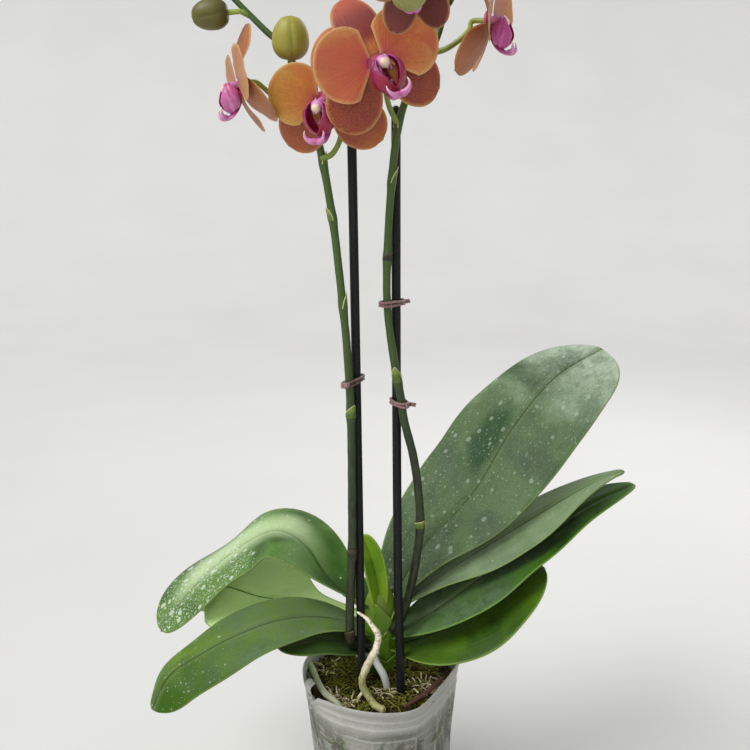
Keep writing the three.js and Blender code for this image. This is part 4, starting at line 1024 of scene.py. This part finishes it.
def bract_form(stem, height, length, facing, reach):
    """A scale that clasps the stem above a joint, open on one side, with its point bent a little away."""
    shares = np.linspace(0, 1, 400)
    route = even_path(stem, shares)
    at = int(np.argmin(abs(route[:, 2] - height)))
    along = unit(route[min(at + 3, 399)] - route[max(at - 3, 0)])
    toward = np.array([math.cos(math.radians(facing)), math.sin(math.radians(facing)), 0])
    toward = unit(toward - along * (toward @ along))
    t, q = np.linspace(0, 1, 15)[:, None], np.linspace(1, -1, 13)[None]
    angle = np.radians(q * reach * (1 - t ** 1.7) + 14 * t)
    radius = value_along(SPIKE.radii, [shares[at]])[0]
    far = radius * 1.13 + 0.1 + 0.35 * t ** 3 + 0.3 * np.cos(3 * angle) * t
    ring = np.cos(angle)[..., None] * toward + np.sin(angle)[..., None] * np.cross(along, toward)
    return sheet_form(route[at] + far[..., None] * ring + along * (length * (t - 0.12))[..., None], 0.5)


def small_bud_form(x, y, z, radius):
    """A tight pea-like bud of the tip, slightly pointed."""
    t, turn = np.linspace(0, 1, 14)[:, None], np.linspace(0, math.tau, 18, endpoint=False)[None]
    far = radius * np.sin(math.pi * np.clip(t, 0.02, 0.98)) ** 0.8 * (1.05 - 0.25 * t)
    far = far * (1 - 0.08 * abs(np.cos(1.5 * turn)) ** 6)
    x, z = x + x / 40 * (t - 0.5), z + radius * 2.2 * (t - 0.5) + 0 * far
    rings = np.stack([x + far * np.cos(turn), y + far * np.sin(turn), z], -1)
    return ring_form(rings, along=np.repeat(t, 18))


spike_skin = skin_finish("spike_skin", (28, 28, 14), (60, 86, 22), 0.0004, 0.5, 0.38, 0.4, 260.0,
                         {"coat_weight": 0.03}, freckle_color=(64, 48, 32))
stalk_skin = skin_finish("stalk_skin", (106, 128, 34), (146, 168, 60), 0.0002, 0.4, 0.5, 0.1, 140.0,
                         {"coat_weight": 0.25})
bract_skin = skin_finish("bract_skin", (70, 92, 24), (122, 142, 52), 0.0003, 0.5, 0.5, 0.35, 120.0,
                         rim_color=(198, 192, 144), rim_width=0.5)
dry_bract_skin = skin_finish("dry_bract_skin", (32, 26, 16), (62, 54, 34), 0.0004, 0.7, 0.5, 0.6, 160.0,
                             rim_color=(96, 84, 60), rim_width=0.2)
young_bud_skin = skin_finish("young_bud_skin", (86, 98, 34), (122, 130, 56), 0.0002, 0.4, 0.5, 0.1, 90.0)
for name, spike in SPIKES.items():
    main = (spike.stem, stem_radii(spike.stem, spike.bracts), (False, True), 2.0)
    piece_of(name + "_stem", stem_mesh([main], spike_skin, 20, 0.14, 130, 7, 0.02), None, name)
    stalks = [(stalk_route(*stalk), SPIKE.stalk, (False, False), 1.2) for stalk in spike.stalks]
    piece_of(name + "_stalks", stem_mesh(stalks, stalk_skin, 16, 0.12, 200, 5, 0.03))
    for label, dried, skin in (("bracts", False, bract_skin), ("dry_bracts", True, dry_bract_skin)):
        forms = [bract_form(spike.stem, *bract) for *bract, dry in spike.bracts if dry == dried]
        piece_of(f"{name}_{label}", joined(*forms), skin)
    tips = joined(*[small_bud_form(*bud) for bud in spike.tip_buds])
    piece_of(name + "_tip_buds", tips, young_bud_skin)


# The spikes are tied to their stakes with short lengths of brown cord. Each tie is two turns of cord round
# both, drawn tight and twisted off in a small knot at one side.
TIE = Sizes(radius=4.9, cord=0.85, stretch=2, apart=1.05)
# Ties: centre, the heading of the long way across, how much it slopes, and the direction of the knot.
TIES = {
    "tie_left": ([-21.2, -20.9, 334], 52, 2.6, 215),
    "tie_right_upper": ([4.6, -14.3, 385], 39, 0.3, 0),
    "tie_right_lower": ([9.7, -16.2, 318.5], -67, -0.6, 62),
}


def tie_strands(centre, heading, slope, knot):
    turn, start = math.radians(heading), math.radians(knot)

    def place(angle, lift, wide=1.0):
        far, beside = TIE.radius * TIE.stretch * wide * np.cos(angle), TIE.radius * wide * np.sin(angle)
        x = far * math.cos(turn) - beside * math.sin(turn)
        y = far * math.sin(turn) + beside * math.cos(turn)
        return np.array(centre) + np.stack([x, y, lift + slope * x / TIE.radius / 2], -1)

    strands, angles = [], np.linspace(start - 0.08, start + math.tau + 0.08, 26)
    for lift in (-TIE.apart, TIE.apart):
        turns = place(angles, lift + 0.25 * np.sin(3 * angles + lift))
        strands.append((turns, [TIE.cord] * 2, (True, True), 0.7))
    out = unit(place(start, 0, 2) - place(start, 0))
    k = np.arange(15)[:, None]
    for phase in (0, math.pi):
        twist = np.cos(phase + k * 0.9) * np.cross(out, [0, 0, 1]) + np.sin(phase + k * 0.9) * [0, 0, 1]
        coil = place(start, 0) + out * (0.42 * k - 0.6) + 0.75 * twist
        strands.append((coil, [TIE.cord * 0.85] * 2, (True, True), 0.5))
    return strands


# The cord's pale pink flecks are painted highlights on its twisted fibres.
tie_cord = skin_finish("brown_tie_cord", (84, 54, 50), (128, 92, 88), 0.0005, 0.75, 0.5, 0.5, 500.0,
                       {"sheen_weight": 0.3}, freckle_color=(172, 140, 138))
for name, tie in TIES.items():
    cord = stem_mesh(tie_strands(*tie), tie_cord, 10, 0.15, 900, 3, 0.08)
    piece_of(name + "_cord", cord, None, name)


# Each bloom has a back sepal, two side sepals behind, two broad petals in front, and a small three-lobed
# lip under the column. Petals and sepals are soft, faintly furred flesh, orange over red, with a pink
# heart, fine fan veins and a thin cream edge. The sepals at the sides are brick red with golden speckles.
SEPAL = Sizes(start=6, thick=0.95, outline=(0.24, 0.52, 2.2))
BACK_SEPAL = Sizes(length=46.7, width=30.7, bend=0.0075, cup=0.01)
SIDE_SEPAL = Sizes(length=45.9, cup=0.008, skew=0.77)
PETAL = Sizes(thick=0.85, spread=66.8, power=0.6, skew=0.08, lift=2.5, offset=4, inner=0.1)


def sepal_form(direction, length, width, bend, cup, skew, step, phase, twist):
    """A sepal that points this way in degrees, and turns about its own length by twist on its way out."""
    angle = math.radians(direction)
    t, q = np.linspace(0, 1, 27)[:, None] ** 0.92, np.linspace(-1, 1, 25)[None]
    across = np.maximum(width / 2 * outline_share(t, *SEPAL.outline), 0.4) * q
    reach = SEPAL.start + (length - SEPAL.start) * t
    side = across + skew * np.sin(math.pi * t)
    rise = 0.35 * np.sin(5 * t + phase) * q ** 2 + 0.5 * hill(across, 2.4) * (1 - t) - cup * across ** 2
    rise = rise + 0.22 * np.sin(14 * t + 4 * q + phase) * abs(q) ** 3
    turned = np.radians(twist) * ease(0, 0.5, t)
    z = side * np.sin(turned) + rise * np.cos(turned) - bend * reach ** 2 - step
    side = side * np.cos(turned) - rise * np.sin(turned)
    x = reach * math.cos(angle) - side * math.sin(angle)
    y = reach * math.sin(angle) + side * math.cos(angle)
    return sheet_form(np.stack([x, y, z], -1), SEPAL.thick * (1 - 0.4 * q ** 4))


def petal_form(side, phase, length, tilt, bend):
    t, q = np.linspace(0, 1, 27)[:, None], np.linspace(-1, 1, 45)[None]
    angle, inner, turn = np.radians(PETAL.spread * q), PETAL.inner * length, math.radians(tilt)
    outer = length * np.cos(0.98 * angle) ** PETAL.power * (1 - PETAL.skew * np.sin(angle))
    reach = inner + (outer - inner) * t
    x, y = PETAL.offset + reach * np.cos(angle), reach * np.sin(angle)
    z = PETAL.lift - bend * (x ** 2 + y ** 2) + 0.5 * t ** 2 * np.sin(7 * q + phase)
    z = z + 0.28 * t ** 3 * np.sin(17 * q + 2 * phase) - 0.9 * hill(q, 0.16) * t * (1 - t)
    x, y = x * math.cos(turn) - y * math.sin(turn), x * math.sin(turn) + y * math.cos(turn)
    return sheet_form(np.stack([side * x, y, z], -1)[:, ::side], PETAL.thick * (1 - 0.4 * t ** 5))


def petal_skin_group():
    """A petal's skin: a pink heart, three shades outward, fan veins, golden speckles and a cream edge."""
    tree, given = skin_group("petal_skin", heart_color=(190, 60, 80), heart=0.25, inner_color=(190, 80, 60),
                             middle_color=(200, 110, 60), outer_color=(206, 120, 64),
                             edge_color=(214, 172, 108), edge_width=0.2, vein_color=(160, 50, 40),
                             veins=0.4, speckle_color=(214, 150, 60), speckles=0.0,
                             back_color=(190, 130, 84))
    where = in_place()
    along, across, rim, back = [mark_of(key) for key in ("along", "across", "rim", "back")]
    cloud = noise(where, 60, 4)
    fleck = noise(where, 700, 4, 0.6)
    out = along + (cloud - 0.5) * 0.35
    colour = mixed(band(out, 0.12, 0.55), given.inner_color, given.middle_color)
    colour = mixed(band(out, 0.5, 0.95), colour, given.outer_color)
    colour = mixed(band(fleck, 0.42, 0.68, 0, 0.26), colour, given.vein_color)
    colour = mixed(band(noise(where, 30, 4, 0.8), 0.42, 0.6, 0, 0.75), colour, given.inner_color)
    lines = noise(put("ShaderNodeCombineXYZ", across * 13.0, along * 1.6), 1.6, 5, 0.35)
    veined = band(lines, 0.48, 0.74) * (band(along, 1.0, 0.35) * given.veins)
    colour = mixed(veined, colour, given.vein_color)
    colour = mixed(band(given.heart + lines * 0.12 - along, -0.04, 0.16), colour, given.heart_color)
    speckled = band(noise(where, 1900, 5), 0.46, 0.68) * given.speckles
    colour = mixed(speckled, colour, given.speckle_color)
    edge = given.edge_width - rim
    colour = mixed(band(edge, -2.6, 0.1, 0, 0.5), colour, given.edge_color)
    colour = mixed(band(edge, -0.5, 0.1, 0, 0.4), colour, given.edge_color)
    colour = mixed(back * 0.75, colour, given.back_color)
    height = lines * 0.8 + noise(where, 2600, 2) * 0.3
    put("NodeGroupOutput", colour, band(cloud, 0.3, 0.7, 0.5, 0.64), height)
    return tree


petal_skin = petal_skin_group()


def petal_finish(name, **look):
    material = new_finish(name, 0.55, sheen_weight=0.25, sheen_roughness=0.4, subsurface_weight=0.08,
                          subsurface_scale=0.004)
    return skinned(material, petal_skin, 0.0006, **look)


# The lip: two erect side lobes that cup the column, a narrow middle lobe that ends in two curled horns, and
# a warty callus between them. It is waxy flesh, violet to crimson, paler at its rims and lavender white in
# front.
LOBE = Sizes(centre=(0, -8.4, 10.5), half=(10.8, 11.4, 9), start=-97, end=66, reach=51, inward=11,
             thick=0.8, plump=1.1)
LIP_PATH = [[0, -5, 3], [0, -13, 4.5], [0, -19, 8], [0, -22.6, 13], [0, -23, 18.6]]
LIP_HALF_WIDTHS = [3.2, 4.4, 4.8, 4.5, 3.4]
HORN_PATH = [[0.5, -23, 16.6], [3.6, -22.6, 19], [6.4, -20.6, 20.4], [7.6, -17.6, 20.4], [7.2, -15, 19.6]]
HORN_RADII = [2.6, 2.2, 1.5, 0.8, 0.25]
CALLUS = [(-1.2, -12.5, 8.6, 1.2), (1.3, -12.9, 8.4, 1.1), (0, -14.8, 8.6, 1.3), (0.2, -18, 10.4, 1.5),
          (-0.9, -10.6, 8.2, 0.9)]
TURN_LIFT = 0.08
COLUMN_PATH = [[0, 0, -3], [0, 0.2, 0.5], [0, 0.5, 5], [0, -0.2, 11]]
COLUMN = Sizes(radii=[4.2, 3.4, 3.3, 3.6], cap=3.3, cap_centre=(0, -1, 12))


def round_form(path, radii, sides, steps, tones):
    """A tapering round stem in a bloom's own space, closed at both ends, with a tone that runs along it."""
    shares = np.linspace(0, 1, steps + 1)
    route = even_path(path, shares)
    along = unit(np.gradient(route, axis=0))
    side = unit(np.cross(along, [0.0, 0.3, 1.0] if abs(along[0][2]) < 0.8 else [1.0, 0.2, 0.0]))
    turn = np.linspace(0, math.tau, sides, endpoint=False)[None, :, None]
    radius = value_along(radii, shares) * np.sqrt(np.clip(1 - np.abs(2 * shares - 1) ** 18, 0.02, 1))
    ring = np.cos(turn) * side[:, None] + np.sin(turn) * np.cross(along, side)[:, None]
    tone = np.interp(shares, np.linspace(0, 1, len(tones)), tones)
    return ring_form(route[:, None] + radius[:, None, None] * ring, tone=np.repeat(tone, sides))


def ball_form(centre, half, tone, sides=16):
    turn = np.linspace(0, math.tau, sides, endpoint=False)[None]
    tilt = np.linspace(-math.pi / 2, math.pi / 2, 11)[1:-1, None]
    rings = np.stack([np.cos(tilt) * np.cos(turn), np.cos(tilt) * np.sin(turn), np.sin(tilt) + 0 * turn],
                     -1)
    tips = np.array([[0, 0, -1], [0, 0, 1]])
    return ring_form(rings * np.array(half) + centre, tips * np.array(half) + centre, tone=tone)


def side_lobe_form(side, depth):
    """One erect lobe of the lip, whose outside is coloured as deeply as depth says."""
    x, y, z = LOBE.centre
    a, b, c = LOBE.half
    t, q = np.linspace(0, 1, 31)[:, None], np.linspace(-1, 1, 17)[None]
    turn = np.radians(LOBE.start + (LOBE.end - LOBE.start) * t)
    tilt = np.radians(LOBE.inward + LOBE.reach * q) * np.sin(math.pi * (0.15 + 0.78 * t))
    flare = 1 + 0.03 * abs(q) ** 3 + 0.02 * np.sin(9 * t + 4 * q) - 0.07 * hill(q - 1.1 * t + 0.75, 0.14)
    x = side * (x + a * np.cos(tilt) * np.cos(turn) * flare)
    rows = np.stack([x, y + b * np.cos(tilt) * np.sin(turn) * flare, z + c * np.sin(tilt) * flare], -1)
    inner = 0.05 + 0.3 * t ** 1.3 + 0.06 * q * (1 - t)
    streak = hill(q - 1.1 * t + 0.5, 0.2) + 0.6 * hill(q - 1.1 * t + 1.1, 0.1)
    pale = 0.72 - 0.1 * t + 0.22 * streak * (1 - t)
    glint = hill(t - 0.24, 0.05) * hill(q - 0.3, 0.2) + hill(t - 0.12, 0.04) * hill(q - 0.2, 0.3)
    outer = pale + depth * ease(-1, -0.45, q) * (0.04 + 0.34 * t ** 1.2 + 0.5 * glint - pale)
    thick = LOBE.thick + LOBE.plump * (1 - q ** 2) * np.sin(math.pi * t)
    form = sheet_form(rows[:, ::side], thick[:, ::side], False, inner=inner[:, ::side],
                      outer=outer[:, ::side])
    marks = form[2]
    marks["tone"] = marks.pop("inner") * marks["back"] + marks.pop("outer") * (1 - marks["back"])
    marks["tone"] += 0.1 * hill(marks["rim"], 0.5)
    return form


def middle_lobe_form():
    shares, q = np.linspace(0, 1, 29), np.linspace(1, -1, 13)[None]
    route = even_path(LIP_PATH, shares)
    face = np.cross(unit(np.gradient(route, axis=0)), [1.0, 0, 0])
    lift = 1.5 * q ** 2 - 0.7 * hill(q, 0.22) + 0.2 * np.sin(8 * shares[:, None])
    rows = route[:, None] - lift[..., None] * face[:, None]
    rows[..., 0] -= value_along(LIP_HALF_WIDTHS, shares)[:, None] * q
    tone = 0.14 + 0.62 * ease(0.3, 0.85, shares[:, None])
    return sheet_form(rows, LOBE.thick + LOBE.plump * (1 - q ** 2), False, tone=tone)


def lip_form(depth):
    horns = [round_form([[side * x, y, z] for x, y, z in HORN_PATH], HORN_RADII, 12, 24,
                        [0.66, 0.76, 0.86, 1.05])
             for side in (1, -1)]
    warts = [ball_form((x, y, z), (r, r, r * 1.3), 0.8) for x, y, z, r in CALLUS]
    throat = ball_form((0, -6.5, 3.4), (3.2, 5.5, 2.4), 0.06, 20)
    return joined(middle_lobe_form(), side_lobe_form(1, depth), side_lobe_form(-1, depth), throat, *horns,
                  *warts)


def column_form():
    stalk = round_form(COLUMN_PATH, COLUMN.radii, 22, 20, [0.1, 0.3, 0.5, 0.55])
    x, y, z = COLUMN.cap_centre
    hood = ball_form((x, y + 0.6, z - 1.4), (4.9, 4.1, 3.8), 0.5, 26)
    cap = ball_form((x, y - 0.6, z + 0.7), (COLUMN.cap * 1.1, COLUMN.cap * 1.05, COLUMN.cap), 1, 26)
    beak = ball_form((x, y - 3.6, z + 1.6), (0.9, 0.9, 0.8), 0.9, 12)
    wings = [ball_form((x + side * 3.6, y - 3.4, z - 2.6), (1.1, 2.6, 2.4), 0.62, 14) for side in (-1, 1)]
    seat = ball_form((0, 0, -1.2), (8.6, 7.6, 2.6), 0.12, 30)
    return joined(stalk, hood, cap, beak, seat, *wings)


def flesh_finish(name, scale, stops):
    """Waxy flesh whose colour follows each point's tone, with faint streaks and a fine grain."""
    material = new_finish(name, 0.4, coat_weight=0.3, coat_roughness=0.25, subsurface_weight=0.08,
                          subsurface_scale=0.003)
    streaks = noise(in_place(), scale, 4, 0.8)
    colour = put("ShaderNodeValToRGB", mark_of("tone") + (streaks - 0.5) * 0.28)
    ramp = colour.socket.node.color_ramp
    ramp.interpolation = "EASE"
    while len(ramp.elements) < len(stops):
        ramp.elements.new(0.5)
    for element, (place, shade) in zip(ramp.elements, stops):
        element.position, element.color = place, hue(*shade)
    rough = band(streaks, 0.35, 0.65, 0.34, 0.5)
    return finished(material, 0.0005, base_color=colour, roughness=rough, height=streaks)


lip_flesh = flesh_finish("lip_flesh", 500, [(0, (128, 0, 34)), (0.16, (156, 2, 52)), (0.34, (132, 16, 92)),
                                            (0.5, (176, 60, 128)), (0.66, (198, 96, 156)),
                                            (0.84, (210, 140, 186)), (1, (232, 196, 194))])
column_flesh = flesh_finish("column_flesh", 300,
                            [(0, (196, 84, 96)), (0.25, (200, 92, 140)), (0.5, (204, 130, 184)),
                             (0.72, (222, 170, 196)), (1, (240, 206, 182))])


def settled(form, shape, lip_turn=0):
    """The form in its place, from a bloom's own space, where it faces along Z and its lip is towards -Y."""
    forward = unit(np.array(shape.facing, float))
    rightward = unit(np.cross([0, 0, 1], forward))
    axes = np.stack([rightward, np.cross(forward, rightward), forward], 1)
    roll, turn = math.radians(shape.roll), math.radians(lip_turn)
    rolled = np.array([[math.cos(roll), -math.sin(roll), 0], [math.sin(roll), math.cos(roll), 0],
                       [0, 0, 1]])
    turned = np.array([[math.cos(turn), 0, math.sin(turn)], [0, 1, 0],
                       [-math.sin(turn), 0, math.cos(turn)]])
    points = form[0] @ turned.T + [0, 0, abs(lip_turn) * TURN_LIFT]
    return points @ (axes @ rolled * shape.size).T + shape.centre, *form[1:]


def bloom(name, inner, middle, outer, heart, side, side_outer, top, back, speckles=0.3, lip_depth=1,
          twists=(0, 0, 0)):
    """A bloom in its colours: its petals from inside to outside, their heart, its side sepals from inside
    to outside, its back sepal and the backs of them all. The twists are those of the back, left and right
    sepals."""
    shape = BLOOMS[name]
    petal = petal_finish(name + "_petal", heart_color=heart, heart=0.1, inner_color=inner,
                         middle_color=middle, outer_color=outer, veins=0.28, back_color=back)
    top_skin = petal_finish(name + "_top_sepal", heart_color=middle, heart=0.2, inner_color=top,
                            middle_color=top, outer_color=inner, veins=0.45, back_color=back)
    side_skin = petal_finish(name + "_side_sepal", heart_color=(176, 120, 50), heart=0.12, inner_color=side,
                             middle_color=side, outer_color=side_outer, veins=0.5, speckles=speckles,
                             vein_color=(96, 26, 24), edge_color=(206, 156, 88))
    back_sepal = sepal_form(90 + shape.lean, BACK_SEPAL.length, BACK_SEPAL.width, BACK_SEPAL.bend,
                            BACK_SEPAL.cup, 0, 0, 1, twists[0])
    left_sepal, right_sepal = [
        sepal_form(-90 + way * angle, SIDE_SEPAL.length, shape.sepal_width, shape.sepal_bend,
                   SIDE_SEPAL.cup, way * SIDE_SEPAL.skew, step, phase, twist)
        for way, angle, step, phase, twist in zip((-1, 1), shape.angles, (0, shape.step), (2, 4),
                                                  twists[1:])]
    left_petal, right_petal = [petal_form(way, phase, shape.petal_length, shape.petal_tilt,
                                          shape.petal_bend)
                               for way, phase in ((-1, 1), (1, 3))]
    parts = {
        "back_sepal": (back_sepal, 0, top_skin, "petal"),
        "left_sepal": (left_sepal, 0, side_skin, "side_sepal"),
        "right_sepal": (right_sepal, 0, side_skin, "side_sepal"),
        "left_petal": (left_petal, 0, petal, "petal"),
        "right_petal": (right_petal, 0, petal, "petal"),
        "lip": (lip_form(lip_depth), shape.lip_turn, lip_flesh, "lip"),
        "column": (column_form(), shape.lip_turn, column_flesh, "column"),
    }
    for part, (form, lip_turn, skin, slot) in parts.items():
        piece_of(f"{name}_{part}_flesh", settled(form, shape, lip_turn), skin, f"{name}_{part}")


bloom("bloom_centre", (188, 86, 56), (198, 114, 56), (202, 134, 72), (188, 62, 72), (136, 42, 28),
      (150, 60, 32), (130, 42, 28), (180, 104, 54))
bloom("bloom_left", (190, 102, 38), (196, 128, 40), (196, 150, 56), (184, 66, 72), (146, 58, 30),
      (172, 92, 38), (186, 100, 40), (186, 116, 60))
bloom("bloom_far_left", (168, 98, 24), (172, 108, 24), (178, 122, 36), (170, 88, 54), (154, 80, 14),
      (146, 66, 16), (166, 98, 40), (166, 98, 18), speckles=0.5, lip_depth=0, twists=(18, -12, 20))
bloom("bloom_far_right", (174, 96, 52), (190, 118, 58), (200, 140, 74), (170, 70, 70), (150, 80, 34),
      (172, 102, 44), (186, 112, 56), (158, 92, 44), lip_depth=0.3)
# The back bloom's dark maroon is its brick-red flesh with painted shade over it, as it faces down out of the
# light.
bloom("bloom_back", (108, 36, 28), (116, 40, 28), (124, 48, 32), (110, 36, 40), (94, 30, 22), (106, 38, 26),
      (98, 32, 24), (92, 32, 24), speckles=0.04)


# The buds are still closed: their sepals meet in fine seams from the stalk to the tip. They are firm and
# smooth, yellow-green with a bright edge at each seam and an olive flush at the base.
BUD_OUTLINE = [(0, 0), (0.55, 0.03), (0.9, 0.2), (1, 0.42), (0.9, 0.7), (0.52, 0.93), (0, 1)]
SEAM = Sizes(count=3, depth=0.07, width=0.16 / 2.2, twist=0.35)


def bud_form(centre, facing, length, width, seam_turn):
    """A closed bud, whose tip faces this way and whose first seam is turned this many degrees round it."""
    t, turn = np.linspace(0, 1, 34)[:, None], np.linspace(0, math.tau, 72, endpoint=False)[None]
    route = smooth_path([(girth, reach, 0) for girth, reach in BUD_OUTLINE], t[:, 0])
    phase = (turn - math.radians(seam_turn) + SEAM.twist * t) * SEAM.count / math.tau
    apart = np.abs(phase - np.round(phase))
    seam = hill(apart, SEAM.width) * np.sin(math.pi * np.clip(t, 0.05, 1)) ** 0.4
    radius = np.maximum(route[:, :1], 0.015) * width / 2
    radius = radius * (1.03 - SEAM.depth * seam + 0.015 * np.sin(2 * turn + 5 * t))
    reach = (np.clip(route[:, 1:2], 0, 1) - 0.5) * length
    spin = np.array(Vector((0, 0, 1)).rotation_difference(Vector(facing).normalized()).to_matrix())
    rings = np.stack([radius * np.cos(turn), radius * np.sin(turn), reach + 0 * turn], -1) @ spin.T + centre
    return ring_form(rings, along=np.repeat(t, 72), rim=(3 - 2.6 * hill(apart - 0.06, 0.028)).ravel(),
                     seam=(0.5 * hill(apart, 0.022) * np.sin(math.pi * t)).ravel())


def bud(name, seam_turn, skin_name, low, high, **look):
    skin = skin_finish(skin_name, low, high, 0.0003, 0.55, 0.3, 0.15, 60.0, rim_width=0.6, **look)
    piece_of(name + "_flesh", bud_form(**vars(BUDS[name]), seam_turn=seam_turn), skin, name)


bud("bud_left_tip", 30, "tip_bud_skin", (74, 68, 18), (94, 90, 28), rim_color=(110, 106, 44))
bud("bud_left_lower", 50, "lower_bud_skin", (116, 96, 24), (156, 150, 56), rim_color=(186, 186, 96),
    seam_color=(128, 120, 50))
bud("bud_right", 40, "right_bud_skin", (104, 104, 48), (140, 142, 78), rim_color=(190, 190, 120))


# The plain pale floor, which sweeps up far behind the plant, the soft studio light and the camera, which
# stands where the photograph was taken from.
FLOOR = Sizes(side=20.0, front=-12.0, back=2.0, bend=3.0, top=12.0)
CAMERA = Sizes(place=(-6.6, -620.6, 465.7), pitch=-12, focal_pixels=930, picture_pixels=750)
SUN = Sizes(place=(-0.75, -0.42, 1), strength=2.3, softness=40)


def stood(name, data, place=(0, 0, 0), aim=None):
    """An object of the scene that is no part of the plant, in its place and turned to its aim."""
    item = bpy.data.objects.new(name, data)
    item.location = Vector(place) * MM
    if aim:
        item.rotation_euler = (Vector(aim) - Vector(place)).to_track_quat("-Z", "Y").to_euler()
    bpy.context.scene.collection.objects.link(item)
    return item


def soft_box(name, place, aim, size, power):
    light = bpy.data.lights.new(name, "AREA")
    light.shape, light.size, light.energy = "DISK", size * MM, power
    stood(name, light, place, aim)


def pale_floor():
    turns = np.linspace(0, math.pi / 2, 33)
    profile = [(FLOOR.back + FLOOR.bend * math.sin(a), FLOOR.bend * (1 - math.cos(a))) for a in turns]
    profile = [(FLOOR.front, 0), *profile, (FLOOR.back + FLOOR.bend, FLOOR.top)]
    corners = [(x, y, z) for y, z in profile for x in (-FLOOR.side, FLOOR.side)]
    mesh = bpy.data.meshes.new("floor")
    mesh.from_pydata(corners, [], [(k, k + 1, k + 3, k + 2) for k in range(0, len(corners) - 2, 2)])
    mesh.shade_smooth()
    material = new_finish("pale_floor", 0.7)
    colour = mixed(noise(in_place(), 3, 4), hue(206, 205, 202), hue(216, 215, 212))
    mesh.materials.append(finished(material, 0, base_color=colour))
    stood("floor", mesh)


pale_floor()
soft_box("front_box", (-500, -1500, 900), (0, 0, 330), 1000, 3)
soft_box("back_box", (600, 1000, 1100), (0, 0, 350), 800, 5)
sunlight = bpy.data.lights.new("soft_sun", "SUN")
sunlight.energy, sunlight.angle = SUN.strength, math.radians(SUN.softness)
sun = stood("soft_sun", sunlight)
sun.rotation_euler = (-Vector(SUN.place)).to_track_quat("-Z", "Y").to_euler()
world = bpy.data.worlds.new("studio")
world.use_nodes = True
world.node_tree.nodes["Background"].inputs["Color"].default_value = (0.94, 0.96, 1, 1)
world.node_tree.nodes["Background"].inputs["Strength"].default_value = 0.5
bpy.context.scene.world = world

lens = bpy.data.cameras.new("camera")
lens.sensor_width = 36
lens.lens = lens.sensor_width * CAMERA.focal_pixels / CAMERA.picture_pixels
camera = stood("camera", lens, CAMERA.place)
camera.rotation_euler = (math.radians(90 + CAMERA.pitch), 0, 0)
bpy.context.scene.camera = camera
bpy.context.scene.view_settings.view_transform = "Standard"
